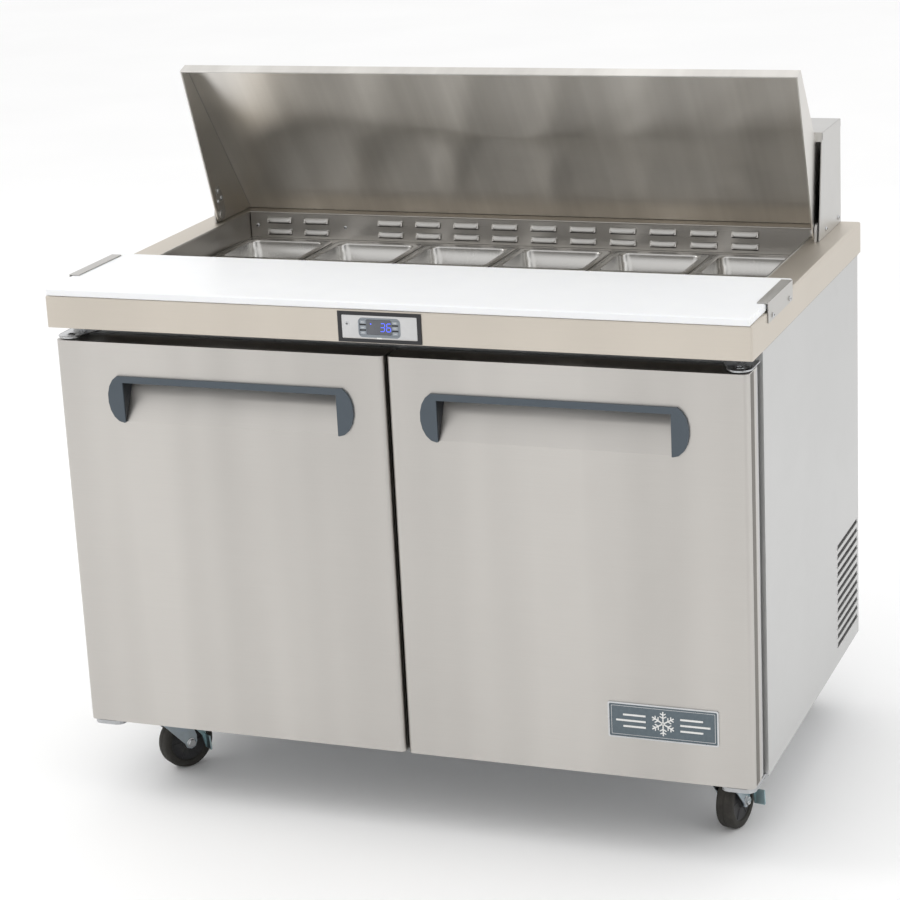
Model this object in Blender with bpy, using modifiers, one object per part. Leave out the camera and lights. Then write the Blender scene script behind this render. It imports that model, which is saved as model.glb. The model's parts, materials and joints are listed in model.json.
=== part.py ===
# Two-door refrigerated sandwich prep table, 48 inch class, on four casters.
# Metres, +Z up, front of the table facing -Y, origin on the floor at the middle of
# the table's plan. Lengths called "back" are measured from the front edge of the
# table (y = -DEPTH/2) towards the rear.

import bpy
import bmesh
import math
from mathutils import Vector, Matrix

# ----------------------------------------------------------------------------
# driving dimensions
# ----------------------------------------------------------------------------
DEPTH = 0.762                 # overall front to back
TOP_HW = 0.611                # half width of the worktop
TOP_Z = 0.912                 # top face of the worktop
SKIRT = 0.055                 # height of the worktop's folded skirt
SHEET = 0.003                 # worktop wall
FRONT_Y = 0.002               # worktop front face, back from the table's front edge

WELL_HX = 0.552               # half width of the pan opening
WELL_Y0, WELL_Y1 = 0.303, 0.692
LEDGE_Z = 0.8645              # face that the pan rims rest on
PAN_PX, PAN_PY = 0.183, 0.178 # pan pitch
PAN_W, PAN_D, PAN_H = 0.176, 0.162, 0.100
PAN_YC = 0.4975
PAN_LIP = 0.011

CAB_HX = 0.6065               # outer face of the side panels
CAB_Y0, CAB_Y1 = 0.080, 0.757
CAB_Z0 = 0.137
LINER_HX = 0.555

DOOR_Y0, DOOR_Y1 = 0.007, 0.052
DOOR_Z0, DOOR_Z1 = 0.143, 0.834
DOOR_OUT, DOOR_IN = 0.602, 0.0025
HINGE_X, HINGE_Y = 0.583, 0.030

HAND_CX, HAND_HW = 0.283, 0.2245
HAND_Z0, HAND_Z1 = 0.696, 0.779

LID_HX = 0.569
LID_T = 0.0018
PIV_Y, PIV_H = 0.595, 0.015   # lid pivot: back from front, height over the worktop
LID_OPEN = math.radians(70.5)

HOOD_HX = 0.577
HOOD_Z = 1.097

CAST_X, CAST_YF, CAST_YR = 0.520, 0.130, 0.655
WHEEL_R, WHEEL_W, TRAIL = 0.050, 0.030, 0.036
CAST_TOP = 0.1295

GAP = 0.0004


def yb(back):
    """world y of a distance measured back from the table's front edge"""
    return back - DEPTH / 2


# ----------------------------------------------------------------------------
# clean start, collections, materials
# ----------------------------------------------------------------------------
for ob in list(bpy.data.objects):
    bpy.data.objects.remove(ob, do_unlink=True)

parts = bpy.data.collections.new("sandwich_prep_table")
cutters = bpy.data.collections.new("cutters")
bpy.context.scene.collection.children.link(parts)
bpy.context.scene.collection.children.link(cutters)


def material(name, color, rough, metal):
    m = bpy.data.materials.new(name)
    m.use_nodes = True
    b = m.node_tree.nodes["Principled BSDF"]
    b.inputs["Base Color"].default_value = (*color, 1.0)
    b.inputs["Roughness"].default_value = rough
    b.inputs["Metallic"].default_value = metal
    m.diffuse_color = (*color, 1.0)
    return m


STEEL_TOP = material("steel_worktop", (0.62, 0.58, 0.53), 0.32, 1.0)
STEEL = material("steel_brushed", (0.58, 0.58, 0.56), 0.35, 1.0)
STEEL_IN = material("steel_inner", (0.60, 0.60, 0.60), 0.28, 1.0)
GALV = material("galvanised", (0.45, 0.47, 0.48), 0.45, 1.0)
SLATE = material("slate_plastic", (0.060, 0.080, 0.098), 0.45, 0.0)
BOARD = material("poly_board", (0.86, 0.87, 0.88), 0.40, 0.0)
BLACK = material("black_plastic", (0.02, 0.02, 0.022), 0.40, 0.0)
GREY = material("keypad_grey", (0.38, 0.40, 0.42), 0.50, 0.0)
GASKET = material("gasket_vinyl", (0.05, 0.045, 0.042), 0.60, 0.0)
RUBBER = material("caster_rubber", (0.022, 0.020, 0.018), 0.70, 0.0)
ZINC = material("zinc", (0.42, 0.50, 0.53), 0.35, 1.0)
ENAMEL = material("black_enamel", (0.015, 0.015, 0.016), 0.30, 0.0)
ALU = material("aluminium_fins", (0.55, 0.56, 0.57), 0.45, 1.0)
WIRE = material("coated_wire", (0.70, 0.70, 0.68), 0.40, 0.0)
FAN = material("fan_plastic", (0.10, 0.10, 0.11), 0.45, 0.0)


# ----------------------------------------------------------------------------
# small modelling helpers
# ----------------------------------------------------------------------------
def finish(name, bm, mat=None, cutter=False, smooth=False):
    me = bpy.data.meshes.new(name)
    bmesh.ops.recalc_face_normals(bm, faces=bm.faces)
    bm.to_mesh(me)
    bm.free()
    ob = bpy.data.objects.new(name, me)
    (cutters if cutter else parts).objects.link(ob)
    if cutter:
        ob.hide_render = True
        ob.display_type = "WIRE"
    if mat:
        me.materials.append(mat)
    if smooth:
        me.shade_smooth()
        me.set_sharp_from_angle(angle=math.radians(35))
    return ob


def add_box(bm, x0, x1, y0, y1, z0, z1, bevel=0.0, segs=2, pick=None):
    """a cube placed between two corners; edges that `pick` accepts are rounded"""
    r = bmesh.ops.create_cube(bm, size=1.0)
    vs = r["verts"]
    bmesh.ops.scale(bm, vec=(x1 - x0, y1 - y0, z1 - z0), verts=vs)
    bmesh.ops.translate(bm, vec=((x0 + x1) / 2, (y0 + y1) / 2, (z0 + z1) / 2), verts=vs)
    if bevel > 0:
        edges = {e for v in vs for e in v.link_edges}
        if pick:
            edges = {e for e in edges if pick(e)}
        bmesh.ops.bevel(bm, geom=list(edges), offset=bevel, segments=segs,
                        profile=0.5, affect="EDGES", clamp_overlap=True)


def box(name, x0, x1, y0, y1, z0, z1, mat=None, cutter=False, **kw):
    bm = bmesh.new()
    add_box(bm, x0, x1, y0, y1, z0, z1, **kw)
    return finish(name, bm, mat, cutter)


def boxes(name, rows, cutter=True, mat=None):
    bm = bmesh.new()
    for r in rows:
        add_box(bm, *r)
    return finish(name, bm, mat, cutter)


AXES = {"X": Matrix.Rotation(math.pi / 2, 4, "Y"),
        "Y": Matrix.Rotation(-math.pi / 2, 4, "X"),
        "Z": Matrix.Identity(4)}


def add_cyl(bm, centre, r, length, axis="Z", segs=24, r2=None, rot=None):
    m = Matrix.Translation(centre) @ (rot if rot is not None else AXES[axis])
    bmesh.ops.create_cone(bm, cap_ends=True, cap_tris=False, segments=segs,
                          radius1=r, radius2=r if r2 is None else r2, depth=length, matrix=m)


def cyl(name, centre, r, length, axis="Z", segs=24, mat=None, cutter=False, smooth=True, r2=None):
    bm = bmesh.new()
    add_cyl(bm, centre, r, length, axis, segs, r2)
    return finish(name, bm, mat, cutter, smooth)


def turned(name, profile, centre, axis="Z", steps=24, mat=None, cutter=False, roll=0.0):
    """a section `profile` [(radius, height)...] turned about an axis, started `roll` radians round"""
    me = bpy.data.meshes.new(name)
    ob = bpy.data.objects.new(name, me)
    (cutters if cutter else parts).objects.link(ob)
    bm = bmesh.new()
    closed = min(p[0] for p in profile) > 1e-6
    vs = [bm.verts.new((r, 0, z)) for r, z in profile]
    for a, b in zip(vs, vs[1:]):
        bm.edges.new((a, b))
    if closed:
        bm.edges.new((vs[-1], vs[0]))
    bm.to_mesh(me)
    bm.free()
    s = ob.modifiers.new("turn", "SCREW")
    s.axis = "Z"
    s.steps = steps
    s.render_steps = steps
    s.use_merge_vertices = True
    s.merge_threshold = 0.00005
    s.use_normal_calculate = True
    me2 = evaluated_mesh(ob)
    bm = bmesh.new()
    bm.from_mesh(me2)
    bmesh.ops.remove_doubles(bm, verts=bm.verts, dist=0.00005)
    bmesh.ops.transform(bm, matrix=Matrix.Translation(centre) @ AXES[axis] @ Matrix.Rotation(roll, 4, "Z"), verts=bm.verts)
    bpy.data.objects.remove(ob, do_unlink=True)
    return finish(name, bm, mat, cutter, smooth=True)


def evaluated_mesh(ob):
    bpy.context.view_layer.update()
    dg = bpy.context.evaluated_depsgraph_get()
    return bpy.data.meshes.new_from_object(ob.evaluated_get(dg), depsgraph=dg)


def add_outline(bm, pts, t0, t1, axis):
    """a flat outline given thickness along an axis.
    axis X: points are (y, z); axis Y: points are (x, z); axis Z: points are (x, y)"""
    cu = bpy.data.curves.new("outline", "CURVE")
    cu.dimensions = "2D"
    cu.fill_mode = "BOTH"
    sp = cu.splines.new("POLY")
    sp.points.add(len(pts) - 1)
    for p, q in zip(sp.points, pts):
        p.co = (q[0], q[1], 0, 1)
    sp.use_cyclic_u = True
    cu.extrude = abs(t1 - t0) / 2
    ob = bpy.data.objects.new("outline", cu)
    bpy.context.scene.collection.objects.link(ob)
    me = evaluated_mesh(ob)
    bpy.data.objects.remove(ob, do_unlink=True)
    b2 = bmesh.new()
    b2.from_mesh(me)
    bmesh.ops.remove_doubles(b2, verts=b2.verts, dist=0.00002)
    bmesh.ops.dissolve_limit(b2, angle_limit=math.radians(0.5), verts=b2.verts, edges=b2.edges)
    mid = (t0 + t1) / 2
    if axis == "X":      # (u, v, w) -> (w, u, v)
        m = Matrix(((0, 0, 1, mid), (1, 0, 0, 0), (0, 1, 0, 0), (0, 0, 0, 1)))
    elif axis == "Y":    # (u, v, w) -> (u, w, v)
        m = Matrix(((1, 0, 0, 0), (0, 0, 1, mid), (0, 1, 0, 0), (0, 0, 0, 1)))
    else:
        m = Matrix.Translation((0, 0, mid))
    bmesh.ops.transform(b2, matrix=m, verts=b2.verts)
    bmesh.ops.recalc_face_normals(b2, faces=b2.faces)
    tmp = bpy.data.meshes.new("tmp")
    b2.to_mesh(tmp)
    b2.free()
    bm.from_mesh(tmp)
    bpy.data.meshes.remove(tmp)


def outline(name, pts, t0, t1, axis, mat=None, cutter=False, smooth=False):
    bm = bmesh.new()
    add_outline(bm, pts, t0, t1, axis)
    return finish(name, bm, mat, cutter, smooth)


def boolean(ob, other, op="DIFFERENCE"):
    m = ob.modifiers.new(op.lower(), "BOOLEAN")
    m.operation = op
    m.solver = "EXACT"
    m.object = other
    return ob


def piece_cyl(ob, tag, *args, **kw):
    """one cylinder joined onto a piece"""
    bm = bmesh.new()
    add_cyl(bm, *args, **kw)
    return boolean(ob, finish(tag, bm, None, True), "UNION")


def cut(ob, *others):
    for o in others:
        boolean(ob, o, "DIFFERENCE")
    return ob


def join(ob, *others):
    for o in others:
        boolean(ob, o, "UNION")
    return ob


def arc(cx, cy, r, a0, a1, n):
    """points on an arc, degrees"""
    return [(cx + r * math.cos(math.radians(a0 + (a1 - a0) * i / n)),
             cy + r * math.sin(math.radians(a0 + (a1 - a0) * i / n))) for i in range(n + 1)]


# ----------------------------------------------------------------------------
# worktop with its folded skirt, pan opening and controller slot
# ----------------------------------------------------------------------------
def top_edges(e):
    a, b = (v.co for v in e.verts)
    on_top = a.z > TOP_Z - 1e-5 and b.z > TOP_Z - 1e-5
    front = abs(a.y - yb(FRONT_Y)) < 1e-5 and abs(b.y - yb(FRONT_Y)) < 1e-5
    return on_top or (front and abs(a.x - b.x) < 1e-5)


CTRL_X, CTRL_Z = -0.0025, 0.8835
worktop = box("worktop", -TOP_HW, TOP_HW, yb(FRONT_Y), yb(DEPTH), TOP_Z - SKIRT, TOP_Z,
              STEEL_TOP, bevel=0.0035, segs=2, pick=top_edges)
cut(worktop,
    box("cut_worktop_under", -TOP_HW + SHEET, TOP_HW - SHEET, yb(FRONT_Y + SHEET), yb(DEPTH - SHEET),
        TOP_Z - SKIRT - 0.02, TOP_Z - SHEET, cutter=True),
    box("cut_worktop_well", -WELL_HX, WELL_HX, yb(WELL_Y0), yb(WELL_Y1), TOP_Z - 0.03, TOP_Z + 0.02, cutter=True),
    box("cut_worktop_ctrl", CTRL_X - 0.0685, CTRL_X + 0.0685, yb(-0.01), yb(0.010),
        CTRL_Z - 0.0215, CTRL_Z + 0.0215, cutter=True))

# ----------------------------------------------------------------------------
# pan well: hanging flange, side walls, and the grid of adapter bars under the rims
# ----------------------------------------------------------------------------
pan_x = [(i - 2.5) * PAN_PX for i in range(6)]
pan_y = [PAN_YC - PAN_PY / 2, PAN_YC + PAN_PY / 2]

pan_well = box("pan_well", -WELL_HX + 0.0005, WELL_HX - 0.0005, yb(WELL_Y0 + 0.0005), yb(WELL_Y1 - 0.0005),
               0.8525, TOP_Z - 0.0005, STEEL_IN)
join(pan_well, box("add_well_flange", -WELL_HX - 0.008, WELL_HX + 0.008, yb(WELL_Y0 - 0.007), yb(WELL_Y1 + 0.007),
                   TOP_Z - 0.0053, TOP_Z - 0.0033, cutter=True))
cut(pan_well,
    box("cut_well_room", -WELL_HX + 0.002, WELL_HX - 0.002, yb(WELL_Y0 + 0.002), yb(WELL_Y1 - 0.0015),
        LEDGE_Z, TOP_Z + 0.01, cutter=True),
    box("cut_well_rear", -WELL_HX + 0.010, WELL_HX - 0.010, yb(WELL_Y1 - 0.005), yb(WELL_Y1 + 0.003),
        LEDGE_Z + 0.003, TOP_Z - 0.0075, cutter=True),
    box("cut_well_under", -WELL_HX + 0.0025, WELL_HX - 0.0025, yb(WELL_Y0 + 0.0025), yb(WELL_Y1 - 0.0025),
        0.84, LEDGE_Z - 0.0025, cutter=True),
    boxes("cut_well_pans", [(x - 0.079, x + 0.079, yb(y - 0.072), yb(y + 0.072), 0.85, 0.88)
                            for x in pan_x for y in pan_y]))


# ----------------------------------------------------------------------------
# twelve sixth-size pans: tapered tub with a flat rim
# ----------------------------------------------------------------------------
def pan(name, cx, cy):
    bm = bmesh.new()
    bmesh.ops.create_cube(bm, size=1.0)
    tx, ty = PAN_W / 2 - PAN_LIP, PAN_D / 2 - PAN_LIP
    for v in bm.verts:
        top = v.co.z > 0
        v.co = Vector((math.copysign(tx if top else tx - 0.009, v.co.x),
                       math.copysign(ty if top else ty - 0.009, v.co.y),
                       0.0 if top else -PAN_H))
    vert = [e for e in bm.edges if abs(e.verts[0].co.z - e.verts[1].co.z) > 0.05]
    bmesh.ops.bevel(bm, geom=vert, offset=0.018, segments=2, profile=0.5, affect="EDGES")
    top = [f for f in bm.faces if all(abs(v.co.z) < 1e-6 for v in f.verts)]
    bmesh.ops.delete(bm, geom=top, context="FACES_ONLY")
    rim = [e for e in bm.edges if e.is_boundary]
    r = bmesh.ops.extrude_edge_only(bm, edges=rim)
    for v in [g for g in r["geom"] if isinstance(g, bmesh.types.BMVert)]:
        v.co.x *= (PAN_W / 2) / tx
        v.co.y *= (PAN_D / 2) / ty
    bmesh.ops.translate(bm, vec=(cx, cy, LEDGE_Z + 0.0003 + 0.0012), verts=bm.verts)
    ob = finish(name, bm, STEEL_IN)
    s = ob.modifiers.new("wall", "SOLIDIFY")
    s.thickness = 0.0012
    s.offset = -1.0
    s.use_even_offset = True
    return ob


for r, row in enumerate(("front", "rear")):
    for c in range(6):
        pan("pan_%s_%d" % (row, c + 1), pan_x[c], yb(pan_y[r]))

# ----------------------------------------------------------------------------
# louvred cold air duct panel at the back of the well
# ----------------------------------------------------------------------------
DUCT_Y0, DUCT_Y1 = 0.6865, 0.6880
duct = box("duct_panel", -WELL_HX + 0.0035, WELL_HX - 0.0035, yb(DUCT_Y0), yb(DUCT_Y1),
           LEDGE_Z + 0.0005, TOP_Z - 0.001, STEEL_IN)
LOUV_X = [-0.488 + 0.0757 * i for i in range(13) if i != 2]
LOUV_Z = [TOP_Z - 0.013, TOP_Z - 0.035]
bm = bmesh.new()
for x in LOUV_X:
    for z in LOUV_Z:
        add_outline(bm, [(yb(DUCT_Y0 + 0.0004), z + 0.0055), (yb(DUCT_Y0 + 0.0004), z - 0.0040),
                         (yb(DUCT_Y0 - 0.0045), z - 0.0040), (yb(DUCT_Y0 - 0.0030), z + 0.0025)],
                    x - 0.0245, x + 0.0245, "X")
join(duct, finish("add_duct_louvres", bm, None, True))
cut(duct, boxes("cut_duct_slots", [(x - 0.0225, x + 0.0225, yb(DUCT_Y0 - 0.0030), yb(DUCT_Y1 + 0.003),
                                    z - 0.0060, z + 0.0005) for x in LOUV_X for z in LOUV_Z]))


# ----------------------------------------------------------------------------
# rear hood that the lid folds back into
# ----------------------------------------------------------------------------
hood_y0b, hood_y0t, hood_y1 = 0.592, 0.618, 0.757
hood = outline("rear_hood", [(yb(hood_y0b), TOP_Z + GAP), (yb(hood_y1), TOP_Z + GAP),
                             (yb(hood_y1), HOOD_Z), (yb(hood_y0t), HOOD_Z)],
               -HOOD_HX, HOOD_HX, "X", STEEL)
cut(hood,
    box("cut_hood_room", -HOOD_HX + 0.0018, HOOD_HX - 0.0018, yb(hood_y0t + 0.0018), yb(hood_y1 - 0.0018),
        TOP_Z - 0.05, HOOD_Z - 0.0018, cutter=True),
    box("cut_hood_mouth", -HOOD_HX + 0.0018, HOOD_HX - 0.0018, yb(0.55), yb(0.66),
        TOP_Z - 0.05, HOOD_Z - 0.016, cutter=True))


# ----------------------------------------------------------------------------
# lid: folded wedge, modelled closed about its pivot and swung open
# ----------------------------------------------------------------------------
piv = Vector((0.0, yb(PIV_Y), TOP_Z + PIV_H))
R0 = PIV_H - 0.0015
A0 = (-0.310, -R0)
A1 = (-0.310, 0.010)
CC = (0.058, 0.1222)
rc = math.hypot(*CC)
tan_a = math.degrees(math.atan2(CC[1], CC[0])) - math.degrees(math.acos(R0 / rc))


def swing(p, a=LID_OPEN):
    """closed (back, up) about the pivot -> world (y, z) with the lid open"""
    c, s = math.cos(-a), math.sin(-a)
    return (piv.y + p[0] * c - p[1] * s, piv.z + p[0] * s + p[1] * c)


side = [A0] + arc(0, 0, R0, -90, tan_a, 5) + [CC, A1]
lid = outline("lid_shell", [swing(p) for p in side], -LID_HX, LID_HX, "X", STEEL)


n = Vector((CC[0] - A1[0], CC[1] - A1[1])).normalized()
perp = Vector((n.y, -n.x))
i1 = Vector(A1) + perp * LID_T
i2 = Vector(CC) + perp * LID_T
t = (A1[0] + LID_T - i1.x) / n.x
i1 = i1 + n * t
inner = [(A0[0] + LID_T, A0[1] - 0.03), (i1.x, i1.y), (i2.x + n.x * 0.03, i2.y + n.y * 0.03),
         (CC[0] + 0.09, CC[1] - 0.16), (CC[0] + 0.02, A0[1] - 0.03)]
cut(lid, outline("cut_lid_room", [swing(p) for p in inner], -LID_HX + LID_T, LID_HX - LID_T, "X", None, True))
bm = bmesh.new()
for s in (-1, 1):
    add_cyl(bm, (s * LID_HX, piv.y, piv.z), 0.0047, 0.02, "X", 16)
cut(lid, finish("cut_lid_pins", bm, None, True))

# hinge brackets: an upright plate with a foot and the pin that carries the lid
for s, nm in ((-1, "left"), (1, "right")):
    x0, x1 = sorted((s * (LID_HX + 0.0012), s * (LID_HX + 0.0042)))
    pts = [(piv.y - 0.013, TOP_Z + GAP), (piv.y + 0.013, TOP_Z + GAP)] + \
          [(piv.y + q[0], piv.z + 0.004 + q[1]) for q in arc(0, 0, 0.013, 0, 180, 6)]
    br = outline("lid_bracket_" + nm, pts, x0, x1, "X", STEEL)
    bm = bmesh.new()
    xin = s * (LID_HX - 0.0065)
    xo = s * (LID_HX + 0.003)
    add_cyl(bm, ((xin + xo) / 2, piv.y, piv.z), 0.0040, abs(xo - xin), "X", 16)
    join(br, finish("add_lid_pin_" + nm, bm, None, True))
    bm = bmesh.new()
    add_cyl(bm, (s * (LID_HX - LID_T - 0.0012 - 0.0018), piv.y, piv.z), 0.0075, 0.0036, "X", 16)
    join(br, finish("add_lid_head_" + nm, bm, None, True))

# ----------------------------------------------------------------------------
# cutting board and the two clips that hold its ends
# ----------------------------------------------------------------------------
BOARD_T = 0.0125
box("cutting_board", -0.6085, 0.6085, yb(0.0), yb(0.268), TOP_Z + 0.0003, TOP_Z + 0.0003 + BOARD_T, BOARD,
    bevel=0.002, segs=1)
for s, nm in ((-1, "left"), (1, "right")):
    bz = TOP_Z + BOARD_T + 0.0009
    x_in, x_out = s * 0.5945, s * 0.6130
    xw = s * 0.6115
    br = box("board_bracket_" + nm, min(x_in, x_out), max(x_in, x_out), yb(0.094), yb(0.250), bz, bz + 0.0015, STEEL)
    join(br, box("add_clip_side_" + nm, min(xw, x_out), max(xw, x_out), yb(0.094), yb(0.250), 0.894, bz + 0.0010, cutter=True))
    bm = bmesh.new()
    for yy in (0.118, 0.226):
        add_cyl(bm, (s * 0.6137, yb(yy), 0.902), 0.0042, 0.0018, "X", 12)
    join(br, finish("add_clip_screws_" + nm, bm, None, True))

# ----------------------------------------------------------------------------
# temperature controller in the front skirt, with six keys
# ----------------------------------------------------------------------------
FACE = 0.0000
ctrl = box("controller", CTRL_X - 0.0725, CTRL_X + 0.0725, yb(FACE), yb(0.0017), CTRL_Z - 0.0255, CTRL_Z + 0.0255, BLACK,
           bevel=0.0006, segs=1)
join(ctrl, box("add_ctrl_body", CTRL_X - 0.068, CTRL_X + 0.068, yb(0.0012), yb(0.045), CTRL_Z - 0.021, CTRL_Z + 0.021, cutter=True))
key_x = (CTRL_X - 0.0285, CTRL_X + 0.0275)
key_z = (CTRL_Z + 0.0085, CTRL_Z - 0.0005, CTRL_Z - 0.0095)
keys = [(x, z) for x in key_x for z in key_z]
cut(ctrl, boxes("cut_ctrl_face", [(CTRL_X - 0.0655, CTRL_X + 0.0655, yb(-0.002), yb(0.0008), CTRL_Z - 0.0195, CTRL_Z + 0.0195)]),
    boxes("cut_ctrl_keys", [(x - 0.0058, x + 0.0058, yb(-0.002), yb(0.0065), z - 0.0036, z + 0.0036) for x, z in keys]))
for i, (x, z) in enumerate(keys):
    box("key_%s_%d" % ("left" if i < 3 else "right", i % 3 + 1), x - 0.0054, x + 0.0054, yb(0.0002), yb(0.0050),
        z - 0.0032, z + 0.0032, GREY, bevel=0.0006, segs=1)

# ----------------------------------------------------------------------------
# cabinet: side panels with slots, back panel, base frame, insulated liner
# ----------------------------------------------------------------------------
VENT_Y0, VENT_Y1 = 0.585, 0.745
VENT_Z = [0.3585 - 0.0168 * i for i in range(12)]
for s, nm in ((-1, "left"), (1, "right")):
    xo, xi = s * CAB_HX, s * (CAB_HX - 0.0015)
    p = box("side_panel_" + nm, min(xo, xi), max(xo, xi), yb(CAB_Y0), yb(CAB_Y1), CAB_Z0, 0.905, STEEL)
    join(p, box("add_side_lip_" + nm, min(xo, s * (CAB_HX - 0.011)), max(xo, s * (CAB_HX - 0.011)),
                yb(CAB_Y0), yb(CAB_Y0 + 0.0015), CAB_Z0 + 0.0045, 0.905, cutter=True))
    bm = bmesh.new()
    for z in VENT_Z:
        # a pressed lip under each slot, its upper face level with the slot's lower edge
        pts = [(s * (CAB_HX - 0.0005), z - 0.0030), (s * (CAB_HX - 0.0005), z - 0.0072),
               (s * (CAB_HX + 0.0008), z - 0.0058), (s * (CAB_HX + 0.0018), z - 0.0030)]
        add_outline(bm, pts, yb(VENT_Y0), yb(VENT_Y1), "Y")
    join(p, finish("add_side_louvres_" + nm, bm, None, True))
    cut(p, boxes("cut_side_vents_" + nm, [(min(s * 0.600, s * (CAB_HX + 0.0050)), max(s * 0.600, s * (CAB_HX + 0.0050)),
                                          yb(VENT_Y0 + 0.002), yb(VENT_Y1 - 0.002), z - 0.0032, z + 0.0030) for z in VENT_Z]))

back = box("back_panel", -CAB_HX + 0.002, CAB_HX - 0.002, yb(CAB_Y1 - 0.0010), yb(CAB_Y1 + 0.0005), CAB_Z0 + 0.001, 0.905, GALV)
cut(back, boxes("cut_back_vents", [(x0, x0 + 0.260, yb(0.74), yb(0.77), z, z + 0.008)
                                   for x0 in (-0.50, -0.13, 0.24) for z in [0.180 + 0.026 * k for k in range(7)]]))

SEAL = 0.0815                      # front face of the liner, where the gaskets land
BAY_Y, BAY_Z = 0.560, 0.400        # machine bay under the step: y back from here, z below here
liner = box("inner_liner", -CAB_HX + 0.003, CAB_HX - 0.003, yb(SEAL + 0.0005), yb(CAB_Y1 - 0.002), 0.166, 0.850, STEEL_IN)
T = 0.002                          # sheet of the tub; the space outside it is where the foam goes
LZ0, LZ1 = 0.212, 0.800            # floor and ceiling of the food compartment
LY0, LY1, LYS = 0.118, 0.700, 0.520
STEP_Z = 0.445
FAR = 0.020
cut(liner,
    # room inside the tub
    box("cut_liner_room", -LINER_HX, LINER_HX, yb(LY0), yb(LY1), STEP_Z, LZ1, cutter=True),
    box("cut_liner_low", -LINER_HX, LINER_HX, yb(LY0), yb(LYS), LZ0, STEP_Z + 0.010, cutter=True),
    boxes("cut_liner_doors", [(-LINER_HX, -0.026, yb(0.07), yb(LY0 + 0.010), LZ0, LZ1),
                              (0.026, LINER_HX, yb(0.07), yb(LY0 + 0.010), LZ0, LZ1)]),
    box("cut_liner_top", -LINER_HX, LINER_HX, yb(0.300), yb(LY1), LZ1 - 0.010, 0.90, cutter=True),
    # the centre post is a channel open to the room
    box("cut_liner_post", -0.024, 0.024, yb(SEAL + 0.0005 + T), yb(LY0 + 0.010), LZ0 + T, LZ1 - T, cutter=True),
    # foam space outside the tub: both sides, rear, under the floor and step, over the ceiling
    boxes("cut_liner_sides", [(-CAB_HX - FAR, -LINER_HX - T, yb(SEAL + 0.0005 + T), yb(0.80), 0.10, 0.90),
                              (LINER_HX + T, CAB_HX + FAR, yb(SEAL + 0.0005 + T), yb(0.80), 0.10, 0.90)]),
    box("cut_liner_back", -CAB_HX - FAR, CAB_HX + FAR, yb(LY1 + T), yb(0.80), 0.10, 0.90, cutter=True),
    box("cut_liner_floor", -CAB_HX - FAR, CAB_HX + FAR, yb(SEAL + 0.0005 + T), yb(0.80), 0.10, LZ0 - T, cutter=True),
    box("cut_liner_step", -CAB_HX - FAR, CAB_HX + FAR, yb(LYS + T), yb(0.80), 0.10, STEP_Z - T, cutter=True),
    box("cut_liner_ceiling", -CAB_HX - FAR, CAB_HX + FAR, yb(SEAL + 0.0005 + T), yb(0.300 - T), LZ1 + T, 0.90, cutter=True))
pegs = []
for x0, x1 in ((-LINER_HX - 0.002, -LINER_HX + 0.009), (LINER_HX - 0.009, LINER_HX + 0.002)):
    for y in (0.17, 0.60):
        pegs.append((x0, x1, yb(y - 0.006), yb(y + 0.006), 0.4625, 0.4660))
for x in (-0.035, 0.035):
    pegs.append((x - 0.006, x + 0.006, yb(0.688), yb(0.702), 0.4625, 0.4660))
for x0, x1 in ((-0.028, -0.019), (0.019, 0.028)):
    pegs.append((min(x0, x1) - (0.010 if x0 < 0 else 0), max(x0, x1) + (0.010 if x0 > 0 else 0),
                 yb(0.106), yb(0.116), 0.4625, 0.4660))
join(liner, boxes("add_liner_pegs", pegs))

base = box("base_frame", -CAB_HX + 0.003, CAB_HX - 0.003, yb(CAB_Y0 + 0.003), yb(CAB_Y1 - 0.002), 0.1385, 0.1650, GALV)
cut(base, box("cut_base_under", -CAB_HX + 0.005, CAB_HX - 0.005, yb(CAB_Y0 + 0.005), yb(CAB_Y1 - 0.004), 0.12, 0.1632, cutter=True))
plates = []
for sx in (-1, 1):
    for y in (CAST_YF, CAST_YR):
        plates.append((sx * CAST_X - 0.046, sx * CAST_X + 0.046, yb(y - 0.042), yb(y + 0.042), 0.1300, 0.1345))
bm = bmesh.new()
for sx in (-1, 1):
    for y in (CAST_YF, CAST_YR):
        add_cyl(bm, (sx * CAST_X, yb(y), 0.1487), 0.020, 0.0300, "Z", 16)
join(base, finish("add_base_bosses", bm, None, True))
join(base, boxes("add_base_plates", plates))
arms = []
for sx in (-1, 1):
    a, b = sorted((sx * 0.543, sx * 0.600))
    arms.append((a, b, yb(0.012), yb(0.100), 0.1330, 0.1400))
bm = bmesh.new()
for r in arms:
    add_box(bm, *r, bevel=0.014, segs=3,
            pick=lambda e: abs(e.verts[0].co.z - e.verts[1].co.z) > 1e-4 and e.verts[0].co.y < yb(0.05))
join(base, finish("add_base_arms", bm, None, True))
bm = bmesh.new()
for sx in (-1, 1):
    add_cyl(bm, (sx * HINGE_X, yb(HINGE_Y), 0.1475), 0.0045, 0.019, "Z", 16)
join(base, finish("add_base_pins", bm, None, True))
bm = bmesh.new()
for sx in (-1, 1):
    for y in (CAST_YF, CAST_YR):
        add_cyl(bm, (sx * CAST_X, yb(y), 0.14), 0.0075, 0.05, "Z", 16)
cut(base, finish("cut_base_kingpins", bm, None, True))

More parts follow.
